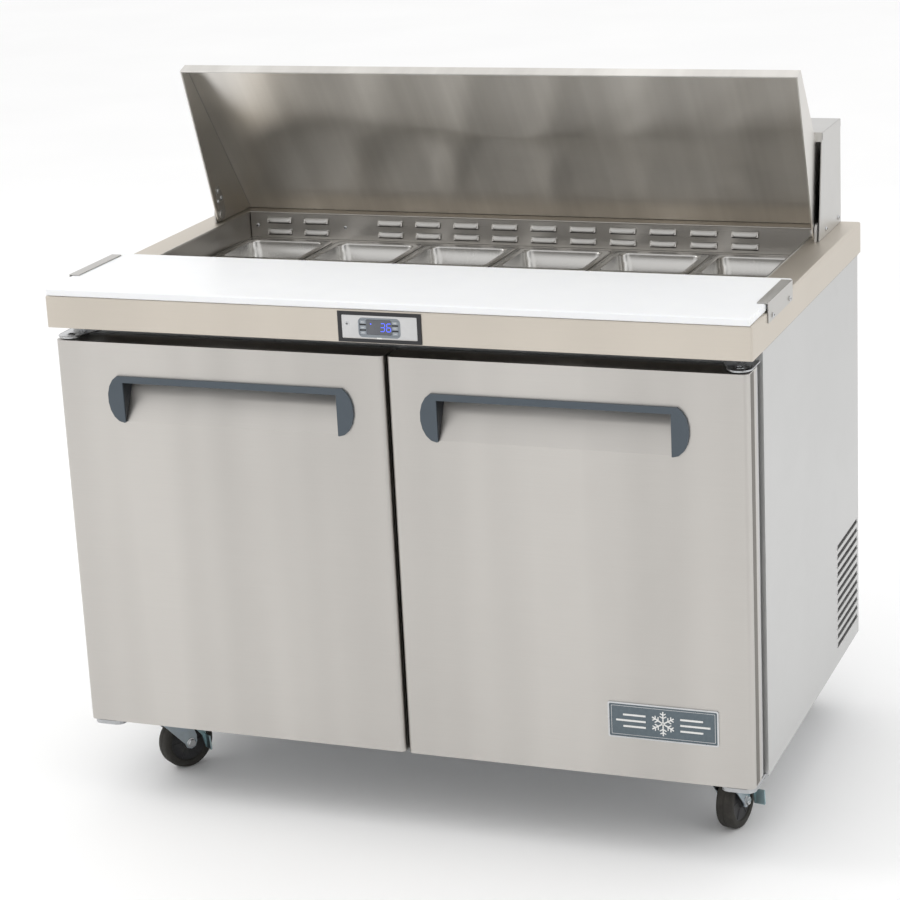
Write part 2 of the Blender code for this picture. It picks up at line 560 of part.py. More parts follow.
# upper door hinges: rounded plates close over the doors' outer corners, each turned up
# against the cabinet front and fastened over its top edge
for s, nm in ((-1, "left"), (1, "right")):
    pts = [(s * 0.603, yb(0.0740)), (s * 0.603, yb(0.030))] + \
          [(s * (0.583 + 0.020 * math.cos(math.radians(a))), yb(0.030 - 0.020 * math.sin(math.radians(a)))) for a in range(15, 180, 15)] + \
          [(s * 0.563, yb(0.030)), (s * 0.548, yb(0.060)), (s * 0.548, yb(0.0812)), (s * 0.595, yb(0.0812)), (s * 0.595, yb(0.0785))]
    h = outline("hinge_top_" + nm, pts, 0.8362, 0.8392, "Z", GALV)
    a, b = sorted((s * 0.5485, s * 0.5945))
    join(h, box("add_hinge_leg_" + nm, a, b, yb(0.0787), yb(0.0810), 0.8375, 0.8546, cutter=True))
    a, b = sorted((s * 0.5490, s * 0.5940))
    join(h, box("add_hinge_foot_" + nm, a, b, yb(0.0792), yb(0.100), 0.8506, 0.8540, cutter=True))
    bm = bmesh.new()
    add_cyl(bm, (s * HINGE_X, yb(HINGE_Y), 0.8302), 0.0045, 0.0166, "Z", 16)
    join(h, finish("add_hinge_pin_" + nm, bm, None, True))

# ----------------------------------------------------------------------------
# doors: outer slab with scooped handle pocket, inner panel, gasket, handle frame
# ----------------------------------------------------------------------------
def lobe(cx, s, grow=0.0):
    """half outline of the handle frame on one side: straight inner edge, bowed outer edge"""
    zc = (HAND_Z0 + HAND_Z1) / 2
    out = []
    hw = HAND_HW + grow
    for i in range(9):
        a = math.radians(72 - i * (162 / 8))
        out.append((cx + s * (hw - 0.027 + 0.027 * math.cos(a)), zc + (0.0415 + grow) * math.sin(a)))
    return out


for s, nm in ((-1, "left"), (1, "right")):
    x0, x1 = sorted((s * DOOR_OUT, s * DOOR_IN))

    def corner(e):
        a, b = (v.co for v in e.verts)
        return abs(a.x - b.x) < 1e-6 and abs(a.y - b.y) < 1e-6 and a.y < yb(0.02)

    door = box("door_" + nm, x0, x1, yb(DOOR_Y0), yb(DOOR_Y1), DOOR_Z0, DOOR_Z1, STEEL, bevel=0.010, segs=6, pick=corner)
    cx = s * HAND_CX
    hx = HAND_HW - 0.0265
    DT = 0.0018                    # door skin
    # open-backed skin with a housing behind the handle pocket and bosses for the hinge pins
    cut(door, box("cut_door_core_" + nm, x0 + DT, x1 - DT, yb(DOOR_Y0 + DT), yb(DOOR_Y1 + 0.010), DOOR_Z0 + DT, DOOR_Z1 - DT, cutter=True,
                  bevel=0.010 - DT, segs=6, pick=corner))
    join(door, outline("add_door_scoop_" + nm,
                       [(yb(DOOR_Y0 + 0.0005), HAND_Z1 - 0.0030), (yb(0.0445), HAND_Z1 - 0.0030), (yb(0.0445), HAND_Z1 - 0.0168),
                        (yb(DOOR_Y0 + 0.0022), HAND_Z0 - 0.0020), (yb(DOOR_Y0 + 0.0005), HAND_Z0 - 0.0020)],
                       cx - hx - 0.0022, cx + hx + 0.0022, "X", None, True))
    bm = bmesh.new()
    add_cyl(bm, (s * HINGE_X, yb(HINGE_Y), DOOR_Z0 + 0.0125), 0.0100, 0.0230, "Z", 16)
    add_cyl(bm, (s * HINGE_X, yb(HINGE_Y), DOOR_Z1 - 0.0125), 0.0100, 0.0230, "Z", 16)
    join(door, finish("add_door_bosses_" + nm, bm, None, True))
    # pocket: deep under the top bar, running out to the door face at its foot
    pts = [(yb(DOOR_Y0 - 0.01), HAND_Z1 - 0.005), (yb(0.0425), HAND_Z1 - 0.005), (yb(0.0425), HAND_Z1 - 0.016),
           (yb(DOOR_Y0), HAND_Z0 + 0.002), (yb(DOOR_Y0 - 0.01), HAND_Z0 + 0.002)]
    cut(door, outline("cut_door_pocket_" + nm, pts, cx - hx - 0.0004, cx + hx + 0.0004, "X", None, True))
    bm = bmesh.new()
    add_cyl(bm, (s * HINGE_X, yb(HINGE_Y), DOOR_Z0), 0.0052, 0.034, "Z", 16)
    add_cyl(bm, (s * HINGE_X, yb(HINGE_Y), DOOR_Z1), 0.0052, 0.034, "Z", 16)
    cut(door, finish("cut_door_pins_" + nm, bm, None, True))

    # inner panel: plate with a raised field
    ix0, ix1 = x0 + 0.006, x1 - 0.006
    dl = box("door_liner_" + nm, ix0, ix1, yb(DOOR_Y1 + 0.0003), yb(0.0605), DOOR_Z0 + 0.006, DOOR_Z1 - 0.006, STEEL_IN)
    gx0, gx1 = sorted((s * 0.0195, s * 0.5665))
    gz0, gz1 = 0.198, 0.815
    join(dl, box("add_liner_field_" + nm, gx0 + 0.0175, gx1 - 0.0175, yb(0.058), yb(0.0690), gz0 + 0.0175, gz1 - 0.0175, cutter=True))
    # gasket: a picture frame section that lands on the liner's face
    g = box("door_gasket_" + nm, gx0, gx1, yb(0.0608), yb(SEAL), gz0, gz1, GASKET)
    cut(g, box("cut_gasket_" + nm, gx0 + 0.0155, gx1 - 0.0155, yb(0.05), yb(0.09), gz0 + 0.0155, gz1 - 0.0155, cutter=True))

    # handle frame: top bar and two bowed end lobes, with triangular cheeks into the pocket
    zc = (HAND_Z0 + HAND_Z1) / 2
    right = lobe(cx, 1)
    left = [(2 * cx - x, z) for x, z in right][::-1]
    hin = HAND_HW - 0.0290
    zb = HAND_Z1 - 0.0130
    # walk: left lobe bottom -> up its outer edge -> top -> right lobe down -> inner edges -> bar underside
    pts = [(cx - hin, HAND_Z0 + 0.0005)] + left + right + [(cx + hin, HAND_Z0 + 0.0005), (cx + hin, zb), (cx - hin, zb)]
    h = outline("door_handle_" + nm, pts, yb(DOOR_Y0 - 0.0045), yb(DOOR_Y0 - 0.0003), "Y", SLATE)
    bm = bmesh.new()
    for q in (-1, 1):
        a, b = sorted((cx + q * (hx - 0.0002), cx + q * (hx - 0.0026)))
        add_outline(bm, [(yb(DOOR_Y0 - 0.002), HAND_Z1 - 0.0055), (yb(0.0418), HAND_Z1 - 0.0055),
                         (yb(0.0418), HAND_Z1 - 0.0162), (yb(DOOR_Y0 - 0.002), HAND_Z0 + 0.0022)], a, b, "X")
    join(h, finish("add_handle_cheeks_" + nm, bm, None, True))
    join(h, box("add_handle_roof_" + nm, cx - hx + 0.0010, cx + hx - 0.0010, yb(DOOR_Y0 - 0.002), yb(0.0418),
                HAND_Z1 - 0.0075, HAND_Z1 - 0.0055, cutter=True))

# ----------------------------------------------------------------------------
# wire shelves, one behind each door
# ----------------------------------------------------------------------------
for s, nm in ((-1, "left"), (1, "right")):
    x0, x1 = sorted((s * 0.020, s * (LINER_HX - 0.004)))
    ya, yc = yb(0.122), yb(0.694)
    z = 0.4690
    bm = bmesh.new()
    add_box(bm, x0, x1, ya, ya + 0.005, z - 0.0025, z + 0.0025)
    sh = finish("shelf_" + nm, bm, WIRE)
    rails = bmesh.new()
    for k in range(9):
        xx = x0 + 0.003 + (x1 - x0 - 0.006) * k / 8
        add_cyl(rails, (xx, (ya + yc) / 2, z + 0.0008), 0.0022 if 0 < k < 8 else 0.0028, yc - ya - 0.002, "Y", 6)
    join(sh, finish("add_shelf_wires_" + nm, rails, None, True))
    bars = bmesh.new()
    add_box(bars, x0, x1, yc - 0.005, yc, z - 0.0025, z + 0.0025)
    add_box(bars, x0 + 0.001, x1 - 0.001, (ya + yc) / 2 - 0.0025, (ya + yc) / 2 + 0.0025, z - 0.0025, z + 0.0020)
    join(sh, finish("add_shelf_bars_" + nm, bars, None, True))

# ----------------------------------------------------------------------------
# refrigeration: compressor, condenser with fan motor, fan, evaporator coil
# ----------------------------------------------------------------------------
comp = turned("compressor", [(0.0, 0.172), (0.030, 0.170), (0.052, 0.160), (0.064, 0.142), (0.068, 0.120), (0.068, 0.086),
                             (0.071, 0.084), (0.071, 0.079), (0.068, 0.077), (0.064, 0.030), (0.054, 0.012), (0.0, 0.012)],
              (-0.20, yb(0.660), 0.1665), "Z", 16, ENAMEL)
feet = bmesh.new()
add_box(feet, -0.20 - 0.085, -0.20 + 0.085, yb(0.660 - 0.060), yb(0.660 + 0.060), 0.1668, 0.1800)
join(comp, finish("add_comp_base", feet, None, True))
ports = bmesh.new()
add_cyl(ports, (-0.20 + 0.085, yb(0.660), 0.250), 0.005, 0.050, "X", 10)
add_cyl(ports, (-0.20, yb(0.660), 0.345), 0.005, 0.030, "Z", 10)
join(comp, finish("add_comp_ports", ports, None, True))

FANC = (0.360, 0.662, 0.268)
cond = box("condenser", 0.440, 0.485, yb(0.578), yb(0.746), 0.1668, 0.370, ALU)
cut(cond, boxes("cut_condenser_fins", [(0.4345, 0.4905, yb(0.584 + 0.0165 * k), yb(0.584 + 0.0165 * k + 0.0075), 0.178, 0.360)
                                       for k in range(10)]))
shroud = bmesh.new()
add_box(shroud, 0.3925, 0.4405, yb(0.578), yb(0.746), 0.1668, 0.370)
shroud_ob = finish("add_cond_shroud", shroud, None, True)
bm = bmesh.new()
add_cyl(bm, (0.42, yb(FANC[1]), FANC[2]), 0.074, 0.080, "X", 28)
cut(shroud_ob, finish("cut_shroud_throat", bm, None, True))
cut(shroud_ob, box("cut_shroud_box", 0.3955, 0.4425, yb(0.581), yb(0.743), 0.1700, 0.367, cutter=True))
join(cond, shroud_ob)
arms = box("add_fan_arm", 0.2960, 0.3000, yb(FANC[1] - 0.0835), yb(FANC[1] + 0.0835),
           FANC[2] - 0.006, FANC[2] + 0.006, cutter=True)
join(arms, boxes("add_fan_arm_legs", [(0.2950, 0.3940, yb(FANC[1] + q - 0.0015), yb(FANC[1] + q + 0.0015),
                                       FANC[2] - 0.0065, FANC[2] + 0.0065) for q in (-0.0820, 0.0820)]))
join(cond, arms)
piece_cyl(cond, "add_fan_motor", (0.3000, yb(FANC[1]), FANC[2]), 0.026, 0.050, "X", 20)
piece_cyl(cond, "add_fan_shaft", (0.3500, yb(FANC[1]), FANC[2]), 0.0040, 0.060, "X", 12)

fan = bpy.data.objects.new("fan_axis", None)
parts.objects.link(fan)
fan.location = (FANC[0], yb(FANC[1]), FANC[2])
bm = bmesh.new()
add_cyl(bm, (0, 0, 0), 0.020, 0.022, "X", 20)
hub = finish("condenser_fan", bm, FAN)
bm = bmesh.new()
for k in range(5):
    b2 = bmesh.new()
    add_box(b2, -0.0011, 0.0011, -0.021, 0.021, 0.012, 0.067)
    rot = Matrix.Rotation(2 * math.pi * k / 5, 4, "X") @ Matrix.Rotation(math.radians(28), 4, "Z")
    bmesh.ops.transform(b2, matrix=rot, verts=b2.verts)
    tmp = bpy.data.meshes.new("tmp")
    b2.to_mesh(tmp)
    b2.free()
    bm.from_mesh(tmp)
    bpy.data.meshes.remove(tmp)
join(hub, finish("add_fan_blades", bm, None, True))
cut(hub, cyl("cut_fan_bore", (0, 0, 0), 0.0046, 0.06, "X", 14, cutter=True))
for o in [hub] + [bpy.data.objects[n] for n in ("add_fan_blades", "cut_fan_bore")]:
    o.parent = fan

evap = box("evaporator", -0.36, 0.36, yb(0.632), yb(0.692), 0.520, 0.680, ALU)
cut(evap, boxes("cut_evap_fins", [(-0.345 + 0.0435 * k, -0.345 + 0.0435 * k + 0.030, yb(0.62), yb(0.71), 0.532, 0.668)
                                  for k in range(16)]))

# ----------------------------------------------------------------------------
# casters: swivelling fork with its axle, wheel, and brake pedal on the front pair
# ----------------------------------------------------------------------------
HEAD = {"front_left": 34.0, "front_right": 10.0, "rear_left": 18.0, "rear_right": -12.0}
for nm, ang in HEAD.items():
    sx = -1 if nm.endswith("left") else 1
    y = CAST_YF if nm.startswith("front") else CAST_YR
    e = bpy.data.objects.new("swivel_" + nm, None)
    parts.objects.link(e)
    e.location = (sx * CAST_X, yb(y), 0.0)
    e.rotation_euler = (0, 0, -math.radians(ang))
    # local frame: kingpin on Z, wheel trails towards +Y, axle along X
    bm = bmesh.new()
    add_cyl(bm, (0, 0, CAST_TOP - 0.0050), 0.030, 0.0100, "Z", 16)
    fork = finish("caster_fork_" + nm, bm, ZINC)
    bm = bmesh.new()
    add_cyl(bm, (0, 0, CAST_TOP + 0.0100), 0.0068, 0.0260, "Z", 16)
    king = finish("add_king_" + nm, bm, None, True)
    bm = bmesh.new()
    hw = WHEEL_W / 2 + 0.0035
    for q in (-1, 1):
        a, b = sorted((q * hw, q * (hw + 0.0025)))
        pts = [(-0.024, CAST_TOP - 0.0005), (0.024, CAST_TOP - 0.0005), (TRAIL + 0.012, 0.062)] + \
              [(TRAIL + 0.012 * math.cos(math.radians(t)), WHEEL_R + 0.012 * math.sin(math.radians(t))) for t in (0, -45, -90, -135, -180)] + \
              [(-0.020, 0.100)]
        add_outline(bm, pts, a, b, "X")
    legs = finish("add_legs_" + nm, bm, None, True)
    crown = box("add_crown_" + nm, -hw - 0.0025, hw + 0.0025, -0.024, 0.024, CAST_TOP - 0.0120, CAST_TOP - 0.0060, cutter=True)
    bm = bmesh.new()
    add_cyl(bm, (0, TRAIL, WHEEL_R), 0.0055, 2 * hw + 0.010, "X", 14)
    axle = finish("add_axle_" + nm, bm, None, True)
    join(fork, king, legs, crown, axle)
    # twenty flats: the middle of the lowest one is what touches the floor
    out = WHEEL_R / math.cos(math.pi / 20)
    wheel = turned("caster_wheel_" + nm,
                   [(0.0062, WHEEL_W / 2 + 0.0012), (0.0140, WHEEL_W / 2 + 0.0012), (0.0160, WHEEL_W / 2 - 0.0040),
                    (0.0360, WHEEL_W / 2 - 0.0040), (0.0385, WHEEL_W / 2), (0.0465, WHEEL_W / 2),
                    (out, WHEEL_W / 2 - 0.0050),
                    (out, -WHEEL_W / 2 + 0.0050), (0.0465, -WHEEL_W / 2), (0.0385, -WHEEL_W / 2),
                    (0.0360, -WHEEL_W / 2 + 0.0040), (0.0160, -WHEEL_W / 2 + 0.0040), (0.0140, -WHEEL_W / 2 - 0.0012),
                    (0.0062, -WHEEL_W / 2 - 0.0012)],
                   (0, TRAIL, WHEEL_R), "X", 20, RUBBER, roll=math.pi / 20)
    for o in (fork, king, legs, crown, axle, wheel):
        o.parent = e
    if nm.startswith("front"):
        # brake pedal: a bent strap outside the fork's right leg, turning on a stub of the fork
        xs = hw + 0.0031
        stub = bmesh.new()
        add_cyl(stub, (hw + 0.0045, 0.030, 0.098), 0.0030, 0.0080, "X", 12)
        b0 = finish("add_stub_" + nm, stub, None, True)
        join(fork, b0)
        pedal = outline("caster_pedal_" + nm,
                        [(0.022, 0.104), (0.034, 0.106), (0.060, 0.087), (0.0655, 0.062), (0.0680, 0.036),
                         (0.0640, 0.034), (0.0575, 0.060), (0.041, 0.080), (0.023, 0.091)], xs, xs + 0.0022, "X", ZINC)
        # foot plate, nearly upright behind the wheel
        tab = outline("add_pedal_tab_" + nm, [(0.0644, 0.0345), (0.0667, 0.0355), (0.0648, 0.0610), (0.0620, 0.0610)],
                      xs + 0.0004, xs + 0.0190, "X", None, True)
        join(pedal, tab)
        hole = cyl("cut_pedal_hole_" + nm, (xs + 0.001, 0.030, 0.098), 0.0036, 0.010, "X", 12, cutter=True)
        cut(pedal, hole)
        for o in (b0, pedal, tab, hole):
            o.parent = e

bpy.context.view_layer.update()
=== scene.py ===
import bpy
import bmesh
import json
import math
from mathutils import Vector, Matrix


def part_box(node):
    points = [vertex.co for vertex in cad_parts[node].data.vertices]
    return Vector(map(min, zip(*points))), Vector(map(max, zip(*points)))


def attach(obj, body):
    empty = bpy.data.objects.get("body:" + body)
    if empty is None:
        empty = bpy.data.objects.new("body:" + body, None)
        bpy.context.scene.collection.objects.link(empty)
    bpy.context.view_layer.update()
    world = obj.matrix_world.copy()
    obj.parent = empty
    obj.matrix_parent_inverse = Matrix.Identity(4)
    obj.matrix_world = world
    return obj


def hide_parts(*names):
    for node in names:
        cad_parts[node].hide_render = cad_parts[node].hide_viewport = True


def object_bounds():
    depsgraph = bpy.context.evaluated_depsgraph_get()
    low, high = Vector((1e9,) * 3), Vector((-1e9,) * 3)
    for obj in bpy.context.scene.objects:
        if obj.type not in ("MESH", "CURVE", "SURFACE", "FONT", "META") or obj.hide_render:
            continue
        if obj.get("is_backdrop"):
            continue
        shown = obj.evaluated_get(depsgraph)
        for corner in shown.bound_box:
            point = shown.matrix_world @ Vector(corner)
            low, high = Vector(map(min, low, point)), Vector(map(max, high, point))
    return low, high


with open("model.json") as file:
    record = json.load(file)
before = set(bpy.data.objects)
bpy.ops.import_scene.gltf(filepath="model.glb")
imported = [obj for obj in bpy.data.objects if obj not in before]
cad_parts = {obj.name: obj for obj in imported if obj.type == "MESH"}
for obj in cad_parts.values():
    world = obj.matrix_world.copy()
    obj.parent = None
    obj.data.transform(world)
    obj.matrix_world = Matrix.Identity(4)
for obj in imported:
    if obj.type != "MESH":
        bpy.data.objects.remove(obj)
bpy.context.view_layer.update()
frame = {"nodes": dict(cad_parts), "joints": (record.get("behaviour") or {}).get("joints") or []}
N = frame["nodes"]
RAD = math.radians

# ---------------------------------------------------------------------------
# places taken from the frame
# ---------------------------------------------------------------------------
wt_lo, wt_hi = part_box("worktop")
TOP_Z = wt_hi.z
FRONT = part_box("controller")[0].y            # front plane of the controller frame
JOINT = {j["name"]: j for j in frame["joints"]}


def frame_y(back):
    """world y of a distance back from the table's front edge"""
    return back - 0.381


# ---------------------------------------------------------------------------
# node helpers
# ---------------------------------------------------------------------------
class Mat:
    """a procedural material put together node by node"""

    def __init__(self, name):
        self.m = bpy.data.materials.new(name)
        self.m.use_nodes = True
        self.nt = self.m.node_tree
        self.b = self.nt.nodes["Principled BSDF"]
        tc = self.nt.nodes.new("ShaderNodeTexCoord")
        self.obj = tc.outputs["Object"]

    def link(self, a, b):
        self.nt.links.new(a, b)

    def mapping(self, scale=(1, 1, 1), rot=(0, 0, 0), vec=None):
        n = self.nt.nodes.new("ShaderNodeMapping")
        n.inputs["Scale"].default_value = scale
        n.inputs["Rotation"].default_value = rot
        self.link(vec or self.obj, n.inputs["Vector"])
        return n.outputs["Vector"]

    def noise(self, vec, scale=1.0, detail=2.0, rough=0.5, dist=0.0):
        n = self.nt.nodes.new("ShaderNodeTexNoise")
        n.inputs["Scale"].default_value = scale
        n.inputs["Detail"].default_value = detail
        n.inputs["Roughness"].default_value = rough
        n.inputs["Distortion"].default_value = dist
        self.link(vec, n.inputs["Vector"])
        return n.outputs["Fac"]

    def voronoi(self, vec, scale=1.0, feature="F1", out="Distance"):
        n = self.nt.nodes.new("ShaderNodeTexVoronoi")
        n.feature = feature
        n.inputs["Scale"].default_value = scale
        self.link(vec, n.inputs["Vector"])
        return n.outputs[out]

    def wave(self, vec, scale=1.0, direction="X", dist=0.0):
        n = self.nt.nodes.new("ShaderNodeTexWave")
        n.bands_direction = direction
        n.inputs["Scale"].default_value = scale
        n.inputs["Distortion"].default_value = dist
        self.link(vec, n.inputs["Vector"])
        return n.outputs["Fac"]

    def math(self, op, a, b=0.0, clamp=False):
        n = self.nt.nodes.new("ShaderNodeMath")
        n.operation = op
        n.use_clamp = clamp
        for i, v in enumerate((a, b)):
            if isinstance(v, (int, float)):
                n.inputs[i].default_value = v
            else:
                self.link(v, n.inputs[i])
        return n.outputs[0]

    def remap(self, v, a, b, c, d):
        n = self.nt.nodes.new("ShaderNodeMapRange")
        for i, x in enumerate((a, b, c, d)):
            n.inputs[i + 1].default_value = x
        self.link(v, n.inputs[0])
        return n.outputs[0]

    def ramp(self, v, stops):
        n = self.nt.nodes.new("ShaderNodeValToRGB")
        e = n.color_ramp.elements
        while len(e) < len(stops):
            e.new(0.5)
        for el, (p, c) in zip(e, stops):
            el.position = p
            el.color = (*c, 1.0)
        self.link(v, n.inputs[0])
        return n.outputs[0]

    def mix(self, fac, a, b, mode="MIX"):
        n = self.nt.nodes.new("ShaderNodeMix")
        n.data_type = "RGBA"
        n.blend_type = mode
        for sock, v in ((n.inputs["Factor"], fac), (n.inputs["A"], a), (n.inputs["B"], b)):
            if isinstance(v, (int, float)):
                sock.default_value = v
            elif isinstance(v, tuple):
                sock.default_value = (*v, 1.0)
            else:
                self.link(v, sock)
        return n.outputs["Result"]

    def color(self, v):
        if isinstance(v, tuple):
            self.b.inputs["Base Color"].default_value = (*v, 1.0)
        else:
            self.link(v, self.b.inputs["Base Color"])

    def rough(self, v):
        if isinstance(v, (int, float)):
            self.b.inputs["Roughness"].default_value = v
        else:
            self.link(v, self.b.inputs["Roughness"])

    def bump(self, h, strength=0.2, dist=0.0005):
        n = self.nt.nodes.new("ShaderNodeBump")
        n.inputs["Strength"].default_value = strength
        n.inputs["Distance"].default_value = dist
        self.link(h, n.inputs["Height"])
        self.link(n.outputs["Normal"], self.b.inputs["Normal"])

    def tangent(self, axis):
        n = self.nt.nodes.new("ShaderNodeTangent")
        n.direction_type = "RADIAL"
        n.axis = axis
        self.link(n.outputs["Tangent"], self.b.inputs["Tangent"])


def scaled(c, k):
    return tuple(max(0.0, min(1.0, x * k)) for x in c)


def brushed(name, base, rough=0.34, grain="X", aniso=0.45, tangent="Z", line=0.035, tone=0.04, vary=0.05,
            bump=0.05, painted_reflection=0.0, painted_reflection_scale=(5.5, 0.0, 0.25), cloudy=(2.3, 2.3, 1.6)):
    """brushed sheet: long fine streaks along the grain, faint clouding, light handling marks"""
    k = Mat(name)
    k.b.inputs["Metallic"].default_value = 1.0
    k.b.inputs["Anisotropic"].default_value = aniso
    if grain in "XY":
        k.b.inputs["Anisotropic Rotation"].default_value = 0.25
    k.tangent(tangent)
    lo, hi = 6.0, 1150.0
    st = {"X": (lo, hi, hi), "Y": (hi, lo, hi), "Z": (hi, hi, lo)}[grain]
    s1 = k.noise(k.mapping(st), 1.0, 3.0, 0.6)
    s2 = k.noise(k.mapping(tuple(v * 3.7 for v in st)), 1.0, 2.0, 0.5)
    streak = k.math("ADD", k.math("MULTIPLY", s1, 0.6), k.math("MULTIPLY", s2, 0.4))
    cloud = k.noise(k.mapping(cloudy), 1.0, 3.0, 0.55, 0.3)
    marks = k.noise(k.mapping((9.0, 9.0, 14.0)), 1.0, 4.0, 0.7, 0.8)
    col = k.ramp(streak, [(0.30, scaled(base, 1 - line)), (0.70, scaled(base, 1 + line))])
    wash = k.ramp(cloud, [(0.32, (1 - tone,) * 3), (0.68, (1.0,) * 3)])
    col = k.mix(1.0, col, wash, "MULTIPLY")
    if painted_reflection > 0:
        # painted reflection: soft upright light and dark bands, as bent sheet shows under strip light
        band = k.noise(k.mapping(painted_reflection_scale), 1.0, 2.0, 0.5)
        col = k.mix(1.0, col, k.ramp(band, [(0.35, (1 - painted_reflection,) * 3), (0.62, (1.0,) * 3)]), "MULTIPLY")
    k.color(col)
    r = k.math("ADD", k.remap(streak, 0.25, 0.75, rough - vary, rough + vary),
               k.remap(marks, 0.45, 0.75, 0.0, 0.03), clamp=True)
    k.rough(r)
    k.bump(streak, bump, 0.0004)
    return k.m


def plastic(name, base, rough=0.42, grain=900.0, depth=0.10, vary=0.10, coat=0.0, spec=0.5):
    """moulded plastic: fine leathery texture, faint uneven gloss"""
    k = Mat(name)
    k.b.inputs["Specular IOR Level"].default_value = spec
    if coat:
        k.b.inputs["Coat Weight"].default_value = coat
        k.b.inputs["Coat Roughness"].default_value = 0.12
    fine = k.noise(k.mapping((grain, grain, grain)), 1.0, 3.0, 0.6)
    cloud = k.noise(k.mapping((14, 14, 14)), 1.0, 3.0, 0.6)
    k.color(k.ramp(k.math("ADD", k.math("MULTIPLY", fine, 0.35), k.math("MULTIPLY", cloud, 0.65)),
                   [(0.30, scaled(base, 1 - vary)), (0.70, scaled(base, 1 + vary))]))
    k.rough(k.remap(cloud, 0.3, 0.7, rough - 0.05, rough + 0.06))
    k.bump(fine, depth, 0.0003)
    return k.m


def plated(name, base, rough=0.34, vary=0.12, spangle=0.0, tint=None):
    """zinc or galvanised finish: crystal patches and a slightly coloured bloom"""
    k = Mat(name)
    k.b.inputs["Metallic"].default_value = 1.0
    v = k.mapping((1, 1, 1))
    cell = k.voronoi(k.mapping((62, 62, 62)), 1.0, "F1", "Color")
    cloud = k.noise(k.mapping((28, 28, 28)), 1.0, 4.0, 0.6)
    sep = k.nt.nodes.new("ShaderNodeSeparateColor")
    k.link(cell, sep.inputs[0])
    g = sep.outputs[0]
    f = k.math("ADD", k.math("MULTIPLY", g, spangle), k.math("MULTIPLY", cloud, 1 - spangle))
    col = k.ramp(f, [(0.25, scaled(base, 1 - vary)), (0.75, scaled(base, 1 + vary))])
    if tint:
        col = k.mix(k.remap(cloud, 0.45, 0.7, 0.0, 0.6), col, tint)
    k.color(col)
    k.rough(k.remap(f, 0.2, 0.8, rough - 0.06, rough + 0.08))
    k.bump(cloud, 0.06, 0.0004)
    return k.m


# ---------------------------------------------------------------------------
# materials
# ---------------------------------------------------------------------------
# the worktop and the doors carry soft painted reflection bands across the sheet
M_TOP = brushed("worktop_brushed", (0.640, 0.590, 0.520), 0.44, "X", 0.2, "Y", 0.03, 0.04, painted_reflection=0.08, painted_reflection_scale=(3.1, 0.0, 0.0))
M_DOOR = brushed("door_brushed", (0.578, 0.557, 0.528), 0.38, "X", 0.65, "Z", 0.030, 0.04, painted_reflection=0.13)
M_SIDE = brushed("side_brushed", (0.590, 0.590, 0.584), 0.44, "Z", 0.4, "X", 0.02, 0.03)


def make_lid():
    """polished brushed sheet: fine level grain, with long soft upright light and dark bands one pan pitch apart, a
    painted reflection of the pans
    """
    k = Mat("lid_brushed")
    k.b.inputs["Metallic"].default_value = 1.0
    k.b.inputs["Anisotropic"].default_value = 0.78
    k.b.inputs["Anisotropic Rotation"].default_value = 0.25
    k.tangent("Z")
    fine = k.noise(k.mapping((14.0, 1900.0, 1900.0)), 1.0, 2.0, 0.5)
    # painted reflection of the pans: broad and thin upright light and dark bands
    band = k.noise(k.mapping((5.46, 0.0, 0.0)), 1.0, 1.0, 0.4)
    thin = k.noise(k.mapping((31.0, 0.0, 0.0)), 1.0, 2.0, 0.5)
    tone = k.math("ADD", k.math("MULTIPLY", band, 0.68), k.math("MULTIPLY", thin, 0.32))
    col = k.ramp(tone, [(0.36, (0.60, 0.58, 0.55)), (0.50, (0.675, 0.655, 0.62)), (0.64, (0.77, 0.75, 0.715))])
    col = k.mix(1.0, col, k.ramp(fine, [(0.3, (0.97,) * 3), (0.7, (1.0,) * 3)]), "MULTIPLY")
    k.color(col)
    k.rough(k.remap(fine, 0.3, 0.7, 0.30, 0.33))
    k.bump(fine, 0.015, 0.0003)
    return k.m


M_LID = make_lid()
M_HOOD = brushed("hood_brushed", (0.570, 0.562, 0.545), 0.38, "X", 0.5, "Z", 0.03, 0.05)
M_PAN = brushed("pan_brushed", (0.60, 0.59, 0.57), 0.24, "Z", 0.3, "Z", 0.03, 0.05)
M_WELL = brushed("well_brushed", (0.56, 0.54, 0.51), 0.30, "X", 0.4, "Z", 0.03, 0.06)
M_CLIP = brushed("clip_brushed", (0.56, 0.55, 0.53), 0.46, "Y", 0.2, "Z", 0.03, 0.04)
M_LINER = brushed("liner_mill", (0.66, 0.67, 0.68), 0.42, "Z", 0.2, "Z", 0.02, 0.04)
M_GALV = plated("galvanised_sheet", (0.46, 0.47, 0.48), 0.42, 0.07, 0.5)
# dark brushed strip: painted shade for the gap over the doors and for the groove in the door sides
M_SHADE_STRIP = brushed("header_strip", (0.20, 0.185, 0.165), 0.50, "X", 0.3, "Z", 0.04, 0.1)
M_ZINC = plated("blue_zinc", (0.46, 0.52, 0.55), 0.32, 0.14, 0.1, (0.40, 0.47, 0.58))
M_PEDAL = plated("pedal_zinc", (0.38, 0.50, 0.52), 0.36, 0.12, 0.1, (0.30, 0.45, 0.50))
M_BOLT = plated("bright_zinc", (0.58, 0.59, 0.60), 0.26, 0.10, 0.0)
M_DARKHOLE = plastic("shadow_recess", (0.018, 0.016, 0.015), 0.7, 400, 0.05)
M_SLATE = plastic("slate_moulding", (0.058, 0.076, 0.094), 0.44, 1100, 0.14, 0.08)
M_CHEEK = plastic("slate_moulding_dark", (0.014, 0.017, 0.021), 0.50, 1100, 0.14, 0.10)
M_BLACK = plastic("black_moulding", (0.016, 0.016, 0.018), 0.38, 1200, 0.10, 0.10)
M_KEY = plastic("keypad_moulding", (0.30, 0.33, 0.36), 0.48, 1500, 0.06, 0.06)
M_BEZEL = plastic("bezel_grey", (0.22, 0.245, 0.27), 0.42, 1500, 0.06, 0.06)
